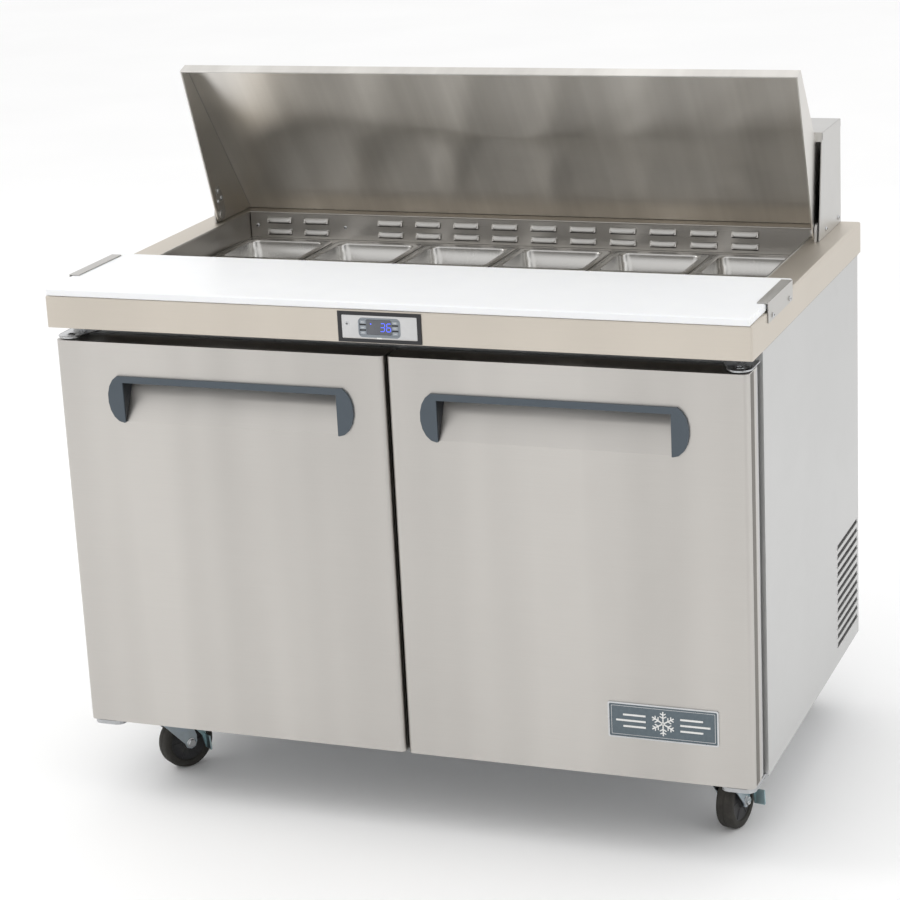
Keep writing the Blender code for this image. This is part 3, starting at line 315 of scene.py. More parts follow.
M_FAN = plastic("fan_moulding", (0.060, 0.062, 0.066), 0.42, 700, 0.08)
M_WHITE_IN = plastic("door_inner_moulding", (0.78, 0.78, 0.765), 0.28, 500, 0.05, 0.02, coat=0.15)
M_COIL_END = plated("coil_plate", (0.55, 0.56, 0.56), 0.36, 0.1, 0.4)


def make_board():
    k = Mat("poly_board")
    k.b.inputs["Subsurface Weight"].default_value = 0.12
    k.b.inputs["Subsurface Radius"].default_value = (0.004, 0.004, 0.005)
    k.b.inputs["Specular IOR Level"].default_value = 0.42
    fine = k.noise(k.mapping((700, 700, 700)), 1.0, 3.0, 0.6)
    cuts = k.noise(k.mapping((14, 260, 60), (0, 0, RAD(24))), 1.0, 4.0, 0.65, 0.2)
    cuts2 = k.noise(k.mapping((300, 16, 60), (0, 0, RAD(-33))), 1.0, 4.0, 0.65, 0.2)
    nick = k.math("MAXIMUM", k.remap(cuts, 0.66, 0.74, 0.0, 1.0), k.remap(cuts2, 0.68, 0.76, 0.0, 1.0))
    cloud = k.noise(k.mapping((6, 6, 6)), 1.0, 3.0, 0.6)
    col = k.ramp(cloud, [(0.3, (0.85, 0.86, 0.875)), (0.7, (0.88, 0.89, 0.90))])
    col = k.mix(k.math("MULTIPLY", nick, 0.10), col, (0.70, 0.70, 0.69))
    k.color(col)
    k.rough(k.remap(fine, 0.3, 0.7, 0.36, 0.46))
    k.bump(k.math("ADD", k.math("MULTIPLY", fine, 0.4), k.math("MULTIPLY", nick, -0.5)), 0.10, 0.0004)
    return k.m


def make_rubber(name, base, rough):
    k = Mat(name)
    k.b.inputs["Specular IOR Level"].default_value = 0.35
    fine = k.noise(k.mapping((380, 380, 380)), 1.0, 4.0, 0.65)
    dust = k.noise(k.mapping((34, 34, 34)), 1.0, 4.0, 0.6)
    col = k.ramp(fine, [(0.3, scaled(base, 0.8)), (0.7, scaled(base, 1.25))])
    k.color(k.mix(k.remap(dust, 0.5, 0.75, 0.0, 0.30), col, (0.13, 0.12, 0.105)))
    k.rough(k.remap(dust, 0.3, 0.7, rough - 0.06, rough + 0.08))
    k.bump(fine, 0.22, 0.0005)
    return k.m


def make_gasket():
    k = Mat("gasket_vinyl")
    k.b.inputs["Specular IOR Level"].default_value = 0.45
    fine = k.noise(k.mapping((500, 500, 500)), 1.0, 3.0, 0.6)
    k.color(k.ramp(fine, [(0.3, (0.070, 0.062, 0.056)), (0.7, (0.095, 0.086, 0.078))]))
    k.rough(0.55)
    k.bump(fine, 0.10, 0.0004)
    return k.m


def make_wire():
    k = Mat("epoxy_coated_wire")
    k.b.inputs["Coat Weight"].default_value = 0.35
    k.b.inputs["Coat Roughness"].default_value = 0.2
    fine = k.noise(k.mapping((160, 160, 160)), 1.0, 3.0, 0.6)
    k.color(k.ramp(fine, [(0.3, (0.70, 0.70, 0.67)), (0.7, (0.79, 0.79, 0.76))]))
    k.rough(0.36)
    k.bump(fine, 0.12, 0.0005)
    return k.m


def make_enamel():
    k = Mat("compressor_enamel")
    k.b.inputs["Coat Weight"].default_value = 0.6
    k.b.inputs["Coat Roughness"].default_value = 0.15
    peel = k.noise(k.mapping((120, 120, 120)), 1.0, 3.0, 0.5)
    k.color(k.ramp(peel, [(0.3, (0.012, 0.012, 0.013)), (0.7, (0.024, 0.024, 0.026))]))
    k.rough(0.36)
    k.bump(peel, 0.16, 0.0006)
    return k.m


def make_fins():
    k = Mat("coil_fins")
    k.b.inputs["Metallic"].default_value = 1.0
    w = k.wave(k.mapping((1, 1, 1)), 190.0, "X")
    n = k.noise(k.mapping((40, 40, 200)), 1.0, 3.0, 0.6)
    k.color(k.mix(1.0, k.ramp(w, [(0.2, (0.30, 0.31, 0.32)), (0.8, (0.62, 0.63, 0.64))]),
                  k.ramp(n, [(0.3, (0.85,) * 3), (0.7, (1.0,) * 3)]), "MULTIPLY"))
    k.rough(0.42)
    k.bump(w, 0.3, 0.0006)
    return k.m


def make_display():
    k = Mat("display_window")
    k.b.inputs["Coat Weight"].default_value = 1.0
    k.b.inputs["Coat Roughness"].default_value = 0.05
    n = k.noise(k.mapping((60, 60, 60)), 1.0, 2.0, 0.5)
    k.color(k.ramp(n, [(0.3, (0.060, 0.066, 0.080)), (0.7, (0.078, 0.084, 0.100))]))
    k.rough(0.22)
    return k.m


def make_glow(name, c, power):
    k = Mat(name)
    n = k.noise(k.mapping((900, 900, 900)), 1.0, 1.0, 0.5)
    k.color(k.ramp(n, [(0.3, scaled(c, 0.8)), (0.7, c)]))
    k.b.inputs["Emission Color"].default_value = (*c, 1.0)
    k.b.inputs["Emission Strength"].default_value = power
    k.rough(0.4)
    return k.m


def make_badge():
    k = Mat("badge_field")
    k.b.inputs["Metallic"].default_value = 0.25
    k.b.inputs["Coat Weight"].default_value = 0.6
    k.b.inputs["Coat Roughness"].default_value = 0.12
    n = k.noise(k.mapping((260, 260, 260)), 1.0, 3.0, 0.6)
    k.color(k.ramp(n, [(0.3, (0.070, 0.098, 0.118)), (0.7, (0.088, 0.120, 0.142))]))
    k.rough(0.38)
    k.bump(n, 0.06, 0.0003)
    return k.m


M_BOARD = make_board()
M_TREAD = make_rubber("caster_tread", (0.030, 0.028, 0.024), 0.72)
M_HUB = make_rubber("caster_hub", (0.026, 0.026, 0.028), 0.50)
M_GASKET = make_gasket()
M_WIRE = make_wire()
M_ENAMEL = make_enamel()
M_FINS = make_fins()
M_DISPLAY = make_display()
M_DIGIT = make_glow("display_digits", (0.07, 0.12, 0.95), 1.4)
M_BADGE = make_badge()


def paint(node, mat):
    o = N[node]
    o.data.materials.clear()
    o.data.materials.append(mat)


for nm in ("left", "right"):
    paint("door_" + nm, M_DOOR)
    paint("side_panel_" + nm, M_SIDE)
    paint("door_liner_" + nm, M_WHITE_IN)
    paint("door_gasket_" + nm, M_GASKET)
    paint("door_handle_" + nm, M_SLATE)
    paint("lid_bracket_" + nm, M_CLIP)
    paint("board_bracket_" + nm, M_CLIP)
    paint("hinge_top_" + nm, M_BOLT)
    paint("shelf_" + nm, M_WIRE)
paint("worktop", M_TOP)
paint("pan_well", M_WELL)
paint("duct_panel", M_WELL)
paint("rear_hood", M_HOOD)
paint("lid_shell", M_LID)
paint("cutting_board", M_BOARD)
paint("controller", M_BLACK)
paint("back_panel", M_GALV)
paint("base_frame", M_GALV)
paint("inner_liner", M_LINER)
paint("compressor", M_ENAMEL)
paint("condenser", M_FINS)
paint("evaporator", M_FINS)
paint("condenser_fan", M_FAN)
for n in N:
    if n.startswith("key_"):
        paint(n, M_KEY)
    elif n.startswith("pan_front") or n.startswith("pan_rear"):
        paint(n, M_PAN)
    elif n.startswith("caster_fork"):
        paint(n, M_ZINC)
    elif n.startswith("caster_pedal"):
        paint(n, M_PEDAL)
    elif n.startswith("caster_wheel"):
        paint(n, M_TREAD)


def soften(node, width, segs=2, angle=38):
    """a small round on the sheet edges, so that they catch the light"""
    b = N[node].modifiers.new("soft_edges", "BEVEL")
    b.width = width
    b.segments = segs
    b.limit_method = "ANGLE"
    b.angle_limit = RAD(angle)
    b.harden_normals = False
    w = N[node].modifiers.new("even_shading", "WEIGHTED_NORMAL")
    w.keep_sharp = True


# ---------------------------------------------------------------------------
# mesh helpers
# ---------------------------------------------------------------------------
def made(name, bm, mats, body, smooth=True, angle=35):
    bmesh.ops.recalc_face_normals(bm, faces=bm.faces)
    me = bpy.data.meshes.new(name)
    bm.to_mesh(me)
    bm.free()
    o = bpy.data.objects.new(name, me)
    bpy.context.scene.collection.objects.link(o)
    for m in (mats if isinstance(mats, (list, tuple)) else [mats]):
        me.materials.append(m)
    if smooth:
        me.shade_smooth()
        me.set_sharp_from_angle(angle=RAD(angle))
    if body:
        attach(o, body)
    return o


def rbox(bm, x0, x1, y0, y1, z0, z1, r=0.0005, segs=2, mat=0):
    n0 = len(bm.faces)
    vs = bmesh.ops.create_cube(bm, size=1.0)["verts"]
    bmesh.ops.scale(bm, vec=(abs(x1 - x0), abs(y1 - y0), abs(z1 - z0)), verts=vs)
    bmesh.ops.translate(bm, vec=((x0 + x1) / 2, (y0 + y1) / 2, (z0 + z1) / 2), verts=vs)
    if r > 0:
        bmesh.ops.bevel(bm, geom=list({e for v in vs for e in v.link_edges}), offset=r, segments=segs,
                        profile=0.5, affect="EDGES", clamp_overlap=True)
    bm.faces.ensure_lookup_table()
    for f in bm.faces[n0:]:
        f.material_index = mat


def basis(axis):
    """a matrix that takes +Z to `axis`"""
    return Vector(axis).normalized().to_track_quat("Z", "Y").to_matrix().to_4x4()


def lathe(bm, profile, centre, axis=(0, 0, 1), segs=32, mats=None):
    """turns [(radius, height)...] about an axis; a point with radius 0 closes the end"""
    m = Matrix.Translation(centre) @ basis(axis)
    rings = []
    for r, h in profile:
        if r < 1e-7:
            rings.append([bm.verts.new(m @ Vector((0, 0, h)))])
        else:
            rings.append([bm.verts.new(m @ Vector((r * math.cos(2 * math.pi * i / segs),
                                                   r * math.sin(2 * math.pi * i / segs), h))) for i in range(segs)])
    for k, (a, b) in enumerate(zip(rings, rings[1:])):
        for i in range(segs):
            j = (i + 1) % segs
            if len(a) == 1 and len(b) == 1:
                continue
            if len(a) == 1:
                f = bm.faces.new((a[0], b[i], b[j]))
            elif len(b) == 1:
                f = bm.faces.new((a[i], b[0], a[j]))
            else:
                f = bm.faces.new((a[i], a[j], b[j], b[i]))
            f.material_index = mats[k] if mats else 0


def rod(bm, a, b, r, segs=10, mat=0):
    a, b = Vector(a), Vector(b)
    d = b - a
    lathe(bm, [(0, 0), (r * 0.8, 0), (r, r * 0.25), (r, d.length - r * 0.25), (r * 0.8, d.length), (0, d.length)],
          a, d, segs, [mat] * 5)


def hexhead(bm, centre, axis, r, h, mat=0):
    m = Matrix.Translation(centre) @ basis(axis)
    rows = []
    for rr, z in ((r, 0), (r, h * 0.8), (r * 0.9, h)):
        rows.append([bm.verts.new(m @ Vector((rr * math.cos(math.pi / 3 * i), rr * math.sin(math.pi / 3 * i), z))) for i in range(6)])
    for a, b in zip(rows, rows[1:]):
        for i in range(6):
            f = bm.faces.new((a[i], a[(i + 1) % 6], b[(i + 1) % 6], b[i]))
            f.material_index = mat
    for row in (rows[0][::-1], rows[-1]):
        bm.faces.new(row).material_index = mat


def screw(bm, centre, axis, r, h, dark=1):
    """pan head with a cross recess, the recess drawn as a dark cross of painted shade"""
    lathe(bm, [(0, 0), (r, 0), (r, h * 0.35), (r * 0.86, h * 0.75), (r * 0.55, h), (0, h)], centre, axis, 20)
    m = Matrix.Translation(centre) @ basis(axis)
    for q in (0, 1):
        w, l = r * 0.13, r * 0.55
        a, b = (l, w) if q == 0 else (w, l)
        vs = bmesh.ops.create_cube(bm, size=1.0)["verts"]
        bmesh.ops.scale(bm, vec=(2 * a, 2 * b, h * 0.2), verts=vs)
        bmesh.ops.transform(bm, matrix=m @ Matrix.Translation((0, 0, h * 0.96)), verts=vs)
        for f in {f for v in vs for f in v.link_faces}:
            f.material_index = dark


def rrect(hx, hy, r, n=6):
    """points round a rounded rectangle"""
    out = []
    for cx, cy, a0 in ((hx - r, hy - r, 0), (-hx + r, hy - r, 90), (-hx + r, -hy + r, 180), (hx - r, -hy + r, 270)):
        for i in range(n + 1):
            a = RAD(a0 + 90 * i / n)
            out.append((cx + r * math.cos(a), cy + r * math.sin(a)))
    return out


def plate(name, outer, holes, t0, t1, mats, body, bevel=0.0002):
    """a flat plate with holes, standing in the XZ plane between two depths"""
    cu = bpy.data.curves.new(name, "CURVE")
    cu.dimensions = "2D"
    cu.fill_mode = "BOTH"
    for pts in [outer] + list(holes):
        sp = cu.splines.new("POLY")
        sp.points.add(len(pts) - 1)
        for p, q in zip(sp.points, pts):
            p.co = (q[0], q[1], 0, 1)
        sp.use_cyclic_u = True
    cu.extrude = abs(t1 - t0) / 2 - bevel
    cu.bevel_depth = bevel
    cu.bevel_resolution = 1
    cu.offset = -bevel
    ob = bpy.data.objects.new(name + "_tmp", cu)
    bpy.context.scene.collection.objects.link(ob)
    bpy.context.view_layer.update()
    me = bpy.data.meshes.new_from_object(ob.evaluated_get(bpy.context.evaluated_depsgraph_get()))
    bpy.data.objects.remove(ob, do_unlink=True)
    bm = bmesh.new()
    bm.from_mesh(me)
    bpy.data.meshes.remove(me)
    bmesh.ops.remove_doubles(bm, verts=bm.verts, dist=0.00001)
    m = Matrix(((1, 0, 0, 0), (0, 0, 1, (t0 + t1) / 2), (0, 1, 0, 0), (0, 0, 0, 1)))
    bmesh.ops.transform(bm, matrix=m, verts=bm.verts)
    for f in bm.faces:
        f.material_index = 0
    return made(name, bm, mats, body, True, 30)


# ---------------------------------------------------------------------------
# food pans: drawn tubs with a rolled rim, stacking shoulder and soft corners
# ---------------------------------------------------------------------------
def pan_piece(node):
    lo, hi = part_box(node)
    cx, cy = (lo.x + hi.x) / 2, (lo.y + hi.y) / 2
    hx, hy, z1, z0 = (hi.x - lo.x) / 2, (hi.y - lo.y) / 2, hi.z, lo.z
    t = 0.0009
    rows = [
        (hx - 0.0006, hy - 0.0006, 0.0125, z1 - 0.0011),
        (hx, hy, 0.0130, z1 - 0.0006),
        (hx - 0.0007, hy - 0.0007, 0.0125, z1 - 0.0001),
        (hx - 0.0105, hy - 0.0105, 0.0150, z1 - 0.0001),
        (hx - 0.0124, hy - 0.0124, 0.0165, z1 - 0.0010),
        (hx - 0.0131, hy - 0.0131, 0.0175, z1 - 0.0040),
        (hx - 0.0133, hy - 0.0133, 0.0180, z1 - 0.0150),
        (hx - 0.0146, hy - 0.0146, 0.0185, z1 - 0.0175),
        (hx - 0.0180, hy - 0.0180, 0.0200, z1 - 0.0560),
        (hx - 0.0206, hy - 0.0206, 0.0210, z0 + 0.0180),
        (hx - 0.0222, hy - 0.0222, 0.0215, z0 + 0.0080),
        (hx - 0.0268, hy - 0.0268, 0.0190, z0 + 0.0026),
        (hx - 0.0340, hy - 0.0340, 0.0150, z0 + 0.0013),
        (hx - 0.0480, hy - 0.0420, 0.0100, z0 + 0.0016),
    ]
    bm = bmesh.new()
    loops = []
    for ax, ay, r, z in rows:
        loops.append([bm.verts.new((cx + x, cy + y, z)) for x, y in rrect(ax, ay, r, 6)])
    for a, b in zip(loops, loops[1:]):
        n = len(a)
        for i in range(n):
            bm.faces.new((a[i], a[(i + 1) % n], b[(i + 1) % n], b[i]))
    bm.faces.new(loops[-1])
    o = made(node + "_drawn", bm, M_PAN, node, True, 50)
    s = o.modifiers.new("wall", "SOLIDIFY")
    s.thickness = t
    s.offset = 0.0
    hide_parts(node)
    return o


for n in sorted(N):
    if n.startswith("pan_front") or n.startswith("pan_rear"):
        pan_piece(n)

# ---------------------------------------------------------------------------
# caster wheels: moulded tread on a webbed hub, with bearing caps; fork hardware
# ---------------------------------------------------------------------------
for nm in ("front_left", "front_right", "rear_left", "rear_right"):
    j = JOINT["caster_roll_" + nm]
    c, ax = Vector(j["pos_m"]), Vector(j["axis"]).normalized()
    R, W = 0.0499, 0.0150
    bm = bmesh.new()
    prof = [(0.0063, -W - 0.0011), (0.0118, -W - 0.0011), (0.0132, -W - 0.0004), (0.0140, -W + 0.0030), (0.0170, -W + 0.0044),
            (0.0335, -W + 0.0042), (0.0352, -W + 0.0034), (0.0366, -W + 0.0008), (0.0392, -W), (0.0448, -W + 0.0001),
            (0.0474, -W + 0.0014), (0.0490, -W + 0.0036), (R, -W + 0.0062), (R, -0.0012), (R - 0.0007, -0.0005)]
    prof = prof + [(r, -h) for r, h in prof[::-1]]
    half = [1] * 6 + [0] * 8
    mats = half + [0] + half[::-1]
    lathe(bm, prof, c, ax, 56, mats)
    # close the bore
    lathe(bm, [(0.0063, -W - 0.0011), (0.0063, W + 0.0011)], c, ax, 56, [1])
    bmesh.ops.remove_doubles(bm, verts=bm.verts, dist=0.00001)
    w = made("wheel_" + nm, bm, [M_TREAD, M_HUB], "caster_wheel_" + nm, True, 32)
    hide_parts("caster_wheel_" + nm)
    # spokes on both faces
    bm = bmesh.new()
    side = ax.cross(Vector((0, 0, 1))).normalized()
    for q in (-1, 1):
        for i in range(6):
            a = 2 * math.pi * i / 6
            d = side * math.cos(a) + Vector((0, 0, 1)) * math.sin(a)
            p0 = c + ax * q * (W - 0.0046) + d * 0.0150
            p1 = c + ax * q * (W - 0.0046) + d * 0.0345
            rod(bm, p0, p1, 0.0016, 8)
    made("wheel_ribs_" + nm, bm, M_HUB, "caster_wheel_" + nm)

    sw = JOINT["caster_swivel_" + nm]
    k = Vector(sw["pos_m"])
    fork = "caster_fork_" + nm
    flo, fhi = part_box(fork)
    bm = bmesh.new()
    # ball race drum and dust ring above the crown
    lathe(bm, [(0.0305, 0.1180), (0.0316, 0.1190), (0.0320, 0.1225), (0.0316, 0.1258), (0.0302, 0.1268)],
          (k.x, k.y, 0), (0, 0, 1), 40)
    lathe(bm, [(0.0302, 0.1268), (0.0302, 0.1180), (0.0305, 0.1180)], (k.x, k.y, 0), (0, 0, 1), 40)
    made("race_ring_" + nm, bm, M_ZINC, fork)
    # axle bolt head and nut
    bm = bmesh.new()
    e = 0.0235
    lathe(bm, [(0, 0), (0.0092, 0), (0.0092, 0.0008), (0.0085, 0.0011), (0, 0.0011)], c + ax * (0.0210), ax, 24)
    lathe(bm, [(0, 0), (0.0092, 0), (0.0092, 0.0008), (0.0085, 0.0011), (0, 0.0011)], c - ax * (0.0210), -ax, 24)
    hexhead(bm, c + ax * 0.0220, ax, 0.0074, 0.0042)
    hexhead(bm, c - ax * 0.0220, -ax, 0.0074, 0.0048)
    rod(bm, c - ax * 0.0262, c - ax * 0.0282, 0.0036, 12)
    made("axle_nuts_" + nm, bm, M_BOLT, fork, True, 30)
    # four plate bolts under the base
    bm = bmesh.new()
    for sx in (-1, 1):
        for sy in (-1, 1):
            p = (k.x + sx * 0.0370, k.y + sy * 0.0330, 0.1300)
            lathe(bm, [(0, 0), (0.0072, 0), (0.0072, 0.0007), (0.0066, 0.0009), (0, 0.0009)], p, (0, 0, -1), 20)
            hexhead(bm, (p[0], p[1], p[2] - 0.0009), (0, 0, -1), 0.0056, 0.0028)
    made("plate_bolts_" + nm, bm, M_BOLT, "cabinet", True, 30)

for nm in ("front_left", "front_right"):
    j = JOINT["caster_brake_" + nm]
    p, ax = Vector(j["pos_m"]), Vector(j["axis"]).normalized()
    bm = bmesh.new()
    lathe(bm, [(0, 0), (0.0056, 0), (0.0056, 0.0009), (0.0040, 0.0017), (0, 0.0021)], p + ax * 0.0022, ax, 20)
    made("pedal_rivet_" + nm, bm, M_BOLT, "caster_fork_" + nm)
    # rolled edge of the foot plate
    side = Vector((0, 0, 1)).cross(ax).normalized()          # the way the wheel trails
    up = Vector((0, 0, 1))
    bm = bmesh.new()
    q0, q1 = p + side * 0.0355 + up * -0.0632, p + side * 0.0336 + up * -0.0372
    rod(bm, q0 + ax * 0.0188, q1 + ax * 0.0188, 0.0015, 10)
    rod(bm, q0 + ax * 0.0005, q0 + ax * 0.0188, 0.0015, 10)
    made("pedal_edge_" + nm, bm, M_PEDAL, "caster_pedal_" + nm)

# ---------------------------------------------------------------------------
# door gaskets: dart, bellows and magnet bulb, mitred round the door
# ---------------------------------------------------------------------------
for nm in ("left", "right"):
    lo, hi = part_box("door_gasket_" + nm)
    w, d = 0.0155, hi.y - lo.y
    # (inset from the outer edge, distance from the door)
    prof = [(0.0030, 0.0000), (0.0125, 0.0000), (0.0130, 0.0012), (0.0112, 0.0026), (0.0098, 0.0040), (0.0118, 0.0056),
            (0.0124, 0.0070), (0.0100, 0.0084), (0.0100, 0.0098), (0.0134, 0.0112), (0.0150, 0.0128), (0.0155, 0.0150),
            (0.0155, 0.0184), (0.0148, 0.0200), (0.0134, d), (0.0024, d), (0.0008, 0.0200), (0.0000, 0.0184),
            (0.0000, 0.0150), (0.0006, 0.0128), (0.0024, 0.0112), (0.0058, 0.0098), (0.0058, 0.0084), (0.0034, 0.0070),
            (0.0040, 0.0056), (0.0060, 0.0040), (0.0046, 0.0026), (0.0026, 0.0012)]
    bm = bmesh.new()
    corners = [(lo.x, lo.z, 1, 1), (hi.x, lo.z, -1, 1), (hi.x, hi.z, -1, -1), (lo.x, hi.z, 1, -1)]
    rings = [[bm.verts.new((x + sx * u, lo.y + v, z + sz * u)) for u, v in prof] for x, z, sx, sz in corners]
    for a, b in zip(rings, rings[1:] + rings[:1]):
        n = len(a)
        for i in range(n):
            bm.faces.new((a[i], a[(i + 1) % n], b[(i + 1) % n], b[i]))
    g = made("bellows_gasket_" + nm, bm, M_GASKET, "door_" + nm, True, 55)
    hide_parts("door_gasket_" + nm)

# ---------------------------------------------------------------------------
# wire shelves: close-set wires over two cross bars and a perimeter bar
# ---------------------------------------------------------------------------
for nm in ("left", "right"):
    lo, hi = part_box("shelf_" + nm)
    zc = lo.z + 0.0026
    bm = bmesh.new()
    r = 0.0026
    rod(bm, (lo.x + r, lo.y + r, zc), (hi.x - r, lo.y + r, zc), r, 10)
    rod(bm, (lo.x + r, hi.y - r, zc), (hi.x - r, hi.y - r, zc), r, 10)
    rod(bm, (lo.x + r, lo.y + r, zc), (lo.x + r, hi.y - r, zc), r, 10)
    rod(bm, (hi.x - r, lo.y + r, zc), (hi.x - r, hi.y - r, zc), r, 10)
    for f in (1 / 3, 2 / 3):
        y = lo.y + (hi.y - lo.y) * f
        rod(bm, (lo.x + r, y, zc - 0.0004), (hi.x - r, y, zc - 0.0004), 0.0022, 8)
    n = 26
    for i in range(1, n):
        x = lo.x + (hi.x - lo.x) * i / n
        rod(bm, (x, lo.y + 0.0020, zc + 0.0020), (x, hi.y - 0.0020, zc + 0.0020), 0.0013, 8)
    s = made("wire_shelf_" + nm, bm, M_WIRE, "cabinet", True, 40)
    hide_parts("shelf_" + nm)

# ---------------------------------------------------------------------------
# evaporator: thin fins between end plates, with hairpin tubes
# ---------------------------------------------------------------------------
lo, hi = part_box("evaporator")
bm = bmesh.new()
n = 118
for i in range(n):
    x = lo.x + 0.006 + (hi.x - lo.x - 0.012) * i / (n - 1)
    rbox(bm, x - 0.00018, x + 0.00018, lo.y + 0.004, hi.y - 0.002, lo.z + 0.003, hi.z - 0.003, 0.0)
for x in (lo.x + 0.002, hi.x - 0.002):
    rbox(bm, x - 0.0009, x + 0.0009, lo.y, hi.y, lo.z, hi.z, 0.0005, 1, 1)
for a in range(3):
    for b in range(6):
        y = lo.y + 0.012 + 0.018 * a
        z = lo.z + 0.014 + (hi.z - lo.z - 0.028) * b / 5
        rod(bm, (lo.x + 0.0005, y, z), (hi.x - 0.0005, y, z), 0.0045, 8, 2)
o = made("evaporator_coil", bm, [M_LINER, M_COIL_END, M_BOLT], "cabinet", False)
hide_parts("evaporator")

# ---------------------------------------------------------------------------
# controller face: light plate, grey keypad surround, dark window with figures
# ---------------------------------------------------------------------------
clo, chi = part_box("controller")
CX, CZ = (clo.x + chi.x) / 2, 0.8835
YF = clo.y
keys = {n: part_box(n) for n in N if n.startswith("key_")}
kx = sorted({round((a.x + b.x) / 2, 4) for a, b in keys.values()})
kz = sorted({round((a.z + b.z) / 2, 4) for a, b in keys.values()})
key_hw, key_hh = 0.0057, (kz[-1] - kz[0]) / 2 + 0.0034


def at(pts, cx, cz):
    return [(cx + x, cz + z) for x, z in pts]


kc = sum(kz) / len(kz)
x_l, x_r = kx[0] - 0.0080, kx[-1] + 0.0090
pill_c, pill_h = (x_l + x_r) / 2, (x_r - x_l) / 2
win_l, win_r = kx[0] + 0.0066, kx[-1] - 0.0066
win_c, win_h = (win_l + win_r) / 2, (win_r - win_l) / 2
plate("ctrl_face_plate", at(rrect(0.0652, 0.0192, 0.0015, 3), CX, CZ),
      [at(rrect(pill_h - 0.001, 0.0155, 0.007, 5), pill_c, kc)],
      YF + 0.00075, YF + 0.00045, brushed("ctrl_plate_satin", (0.60, 0.60, 0.60), 0.34, "X", 0.3, "Z", 0.02, 0.04), "cabinet", 0.00006)
plate("ctrl_keypad", at(rrect(pill_h, 0.0163, 0.0075, 6), pill_c, kc),
      [at(rrect(key_hw, key_hh, 0.0008, 2), x, kc) for x in kx] + [at(rrect(win_h, 0.0125, 0.0015, 3), win_c, kc + 0.0010)],
      YF + 0.00072, YF + 0.00022, M_BEZEL, "cabinet", 0.00008)
plate("ctrl_window", at(rrect(win_h - 0.0003, 0.0121, 0.0012, 3), win_c, kc + 0.0010), [],
      YF + 0.00074, YF + 0.00034, M_DISPLAY, "cabinet", 0.00008)
bm = bmesh.new()
screw(bm, (CX - 0.0560, YF + 0.00050, CZ + 0.0045), (0, -1, 0), 0.0040, 0.00045)
made("ctrl_screw", bm, [M_BOLT, M_DARKHOLE], "cabinet")
bm = bmesh.new()
rbox(bm, CX - 0.0050, CX + 0.0035, YF + 0.00048, YF + 0.00010, CZ - 0.0190, CZ - 0.0165, 0.0001, 1)
made("ctrl_latch_tab", bm, M_WHITE_IN, "cabinet")
bm = bmesh.new()
rbox(bm, CX - 0.0640, CX + 0.0640, YF + 0.00060, YF + 0.00022, CZ - 0.0192, CZ - 0.0178, 0.0001, 1)
made("ctrl_face_ledge", bm, M_CLIP, "cabinet")


SEGS = {"a": (0, 1, 1), "b": (1, 0.5, 0), "c": (1, -0.5, 0), "d": (0, -1, 1), "e": (-1, -0.5, 0), "f": (-1, 0.5, 0), "g": (0, 0, 1)}
DIGIT = {"3": "abcdg", "6": "acdefg"}
bm = bmesh.new()
dw, dh, th = 0.0036, 0.0066, 0.0010
for i, ch in enumerate("36"):
    ox = win_c + 0.0062 + i * 0.0108
    for s in DIGIT[ch]:
        x, z, flat = SEGS[s]
        n0 = len(bm.verts)
        if flat:
            rbox(bm, ox - dw + 0.0006, ox + dw - 0.0006, YF + 0.00036, YF + 0.00020, kc + 0.0010 + z * dh - th / 2, kc + 0.0010 + z * dh + th / 2, 0.00005, 1)
        else:
            rbox(bm, ox + x * dw - th / 2, ox + x * dw + th / 2, YF + 0.00036, YF + 0.00020,
                 kc + 0.0010 + z * dh - dh / 2 + 0.0007, kc + 0.0010 + z * dh + dh / 2 - 0.0007, 0.00005, 1)
        bm.verts.ensure_lookup_table()
        for v in bm.verts[n0:]:
            v.co.x += (v.co.z - kc) * 0.10
lathe(bm, [(0, 0), (0.0011, 0), (0.0009, 0.00015), (0, 0.0002)], (win_l + 0.0075, YF + 0.00036, kc + 0.0062), (0, -1, 0), 14)
made("ctrl_figures", bm, M_DIGIT, "cabinet")
for n, (a, b) in keys.items():
    bm = bmesh.new()
    cx, cz = (a.x + b.x) / 2, (a.z + b.z) / 2
    rbox(bm, cx - 0.0026, cx + 0.0026, a.y + 0.00005, a.y - 0.00010, cz - 0.0003, cz + 0.0003, 0.00005, 1)
    made(n + "_mark", bm, M_WHITE_IN, n)

# ---------------------------------------------------------------------------
# nameplate on the right door: blank slate field in a bright raised border
# ---------------------------------------------------------------------------
dlo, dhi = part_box("door_right")
DF = dlo.y
bx, bz, bw, bh = 0.452, 0.243, 0.0930, 0.0310
plate("badge_border", at(rrect(bw, bh, 0.0035, 4), bx, bz), [at(rrect(bw - 0.0028, bh - 0.0028, 0.0020, 4), bx, bz)],
      DF - 0.0001, DF - 0.0022, M_BOLT, "door_right", 0.0004)
plate("badge_field", at(rrect(bw - 0.0026, bh - 0.0026, 0.0020, 4), bx, bz), [],
      DF - 0.0001, DF - 0.0013, M_BADGE, "door_right", 0.0001)
plate("badge_inner_line", at(rrect(bw - 0.0058, bh - 0.0058, 0.0016, 4), bx, bz), [at(rrect(bw - 0.0066, bh - 0.0066, 0.0014, 4), bx, bz)],
      DF - 0.0011, DF - 0.0016, M_BOLT, "door_right", 0.0001)
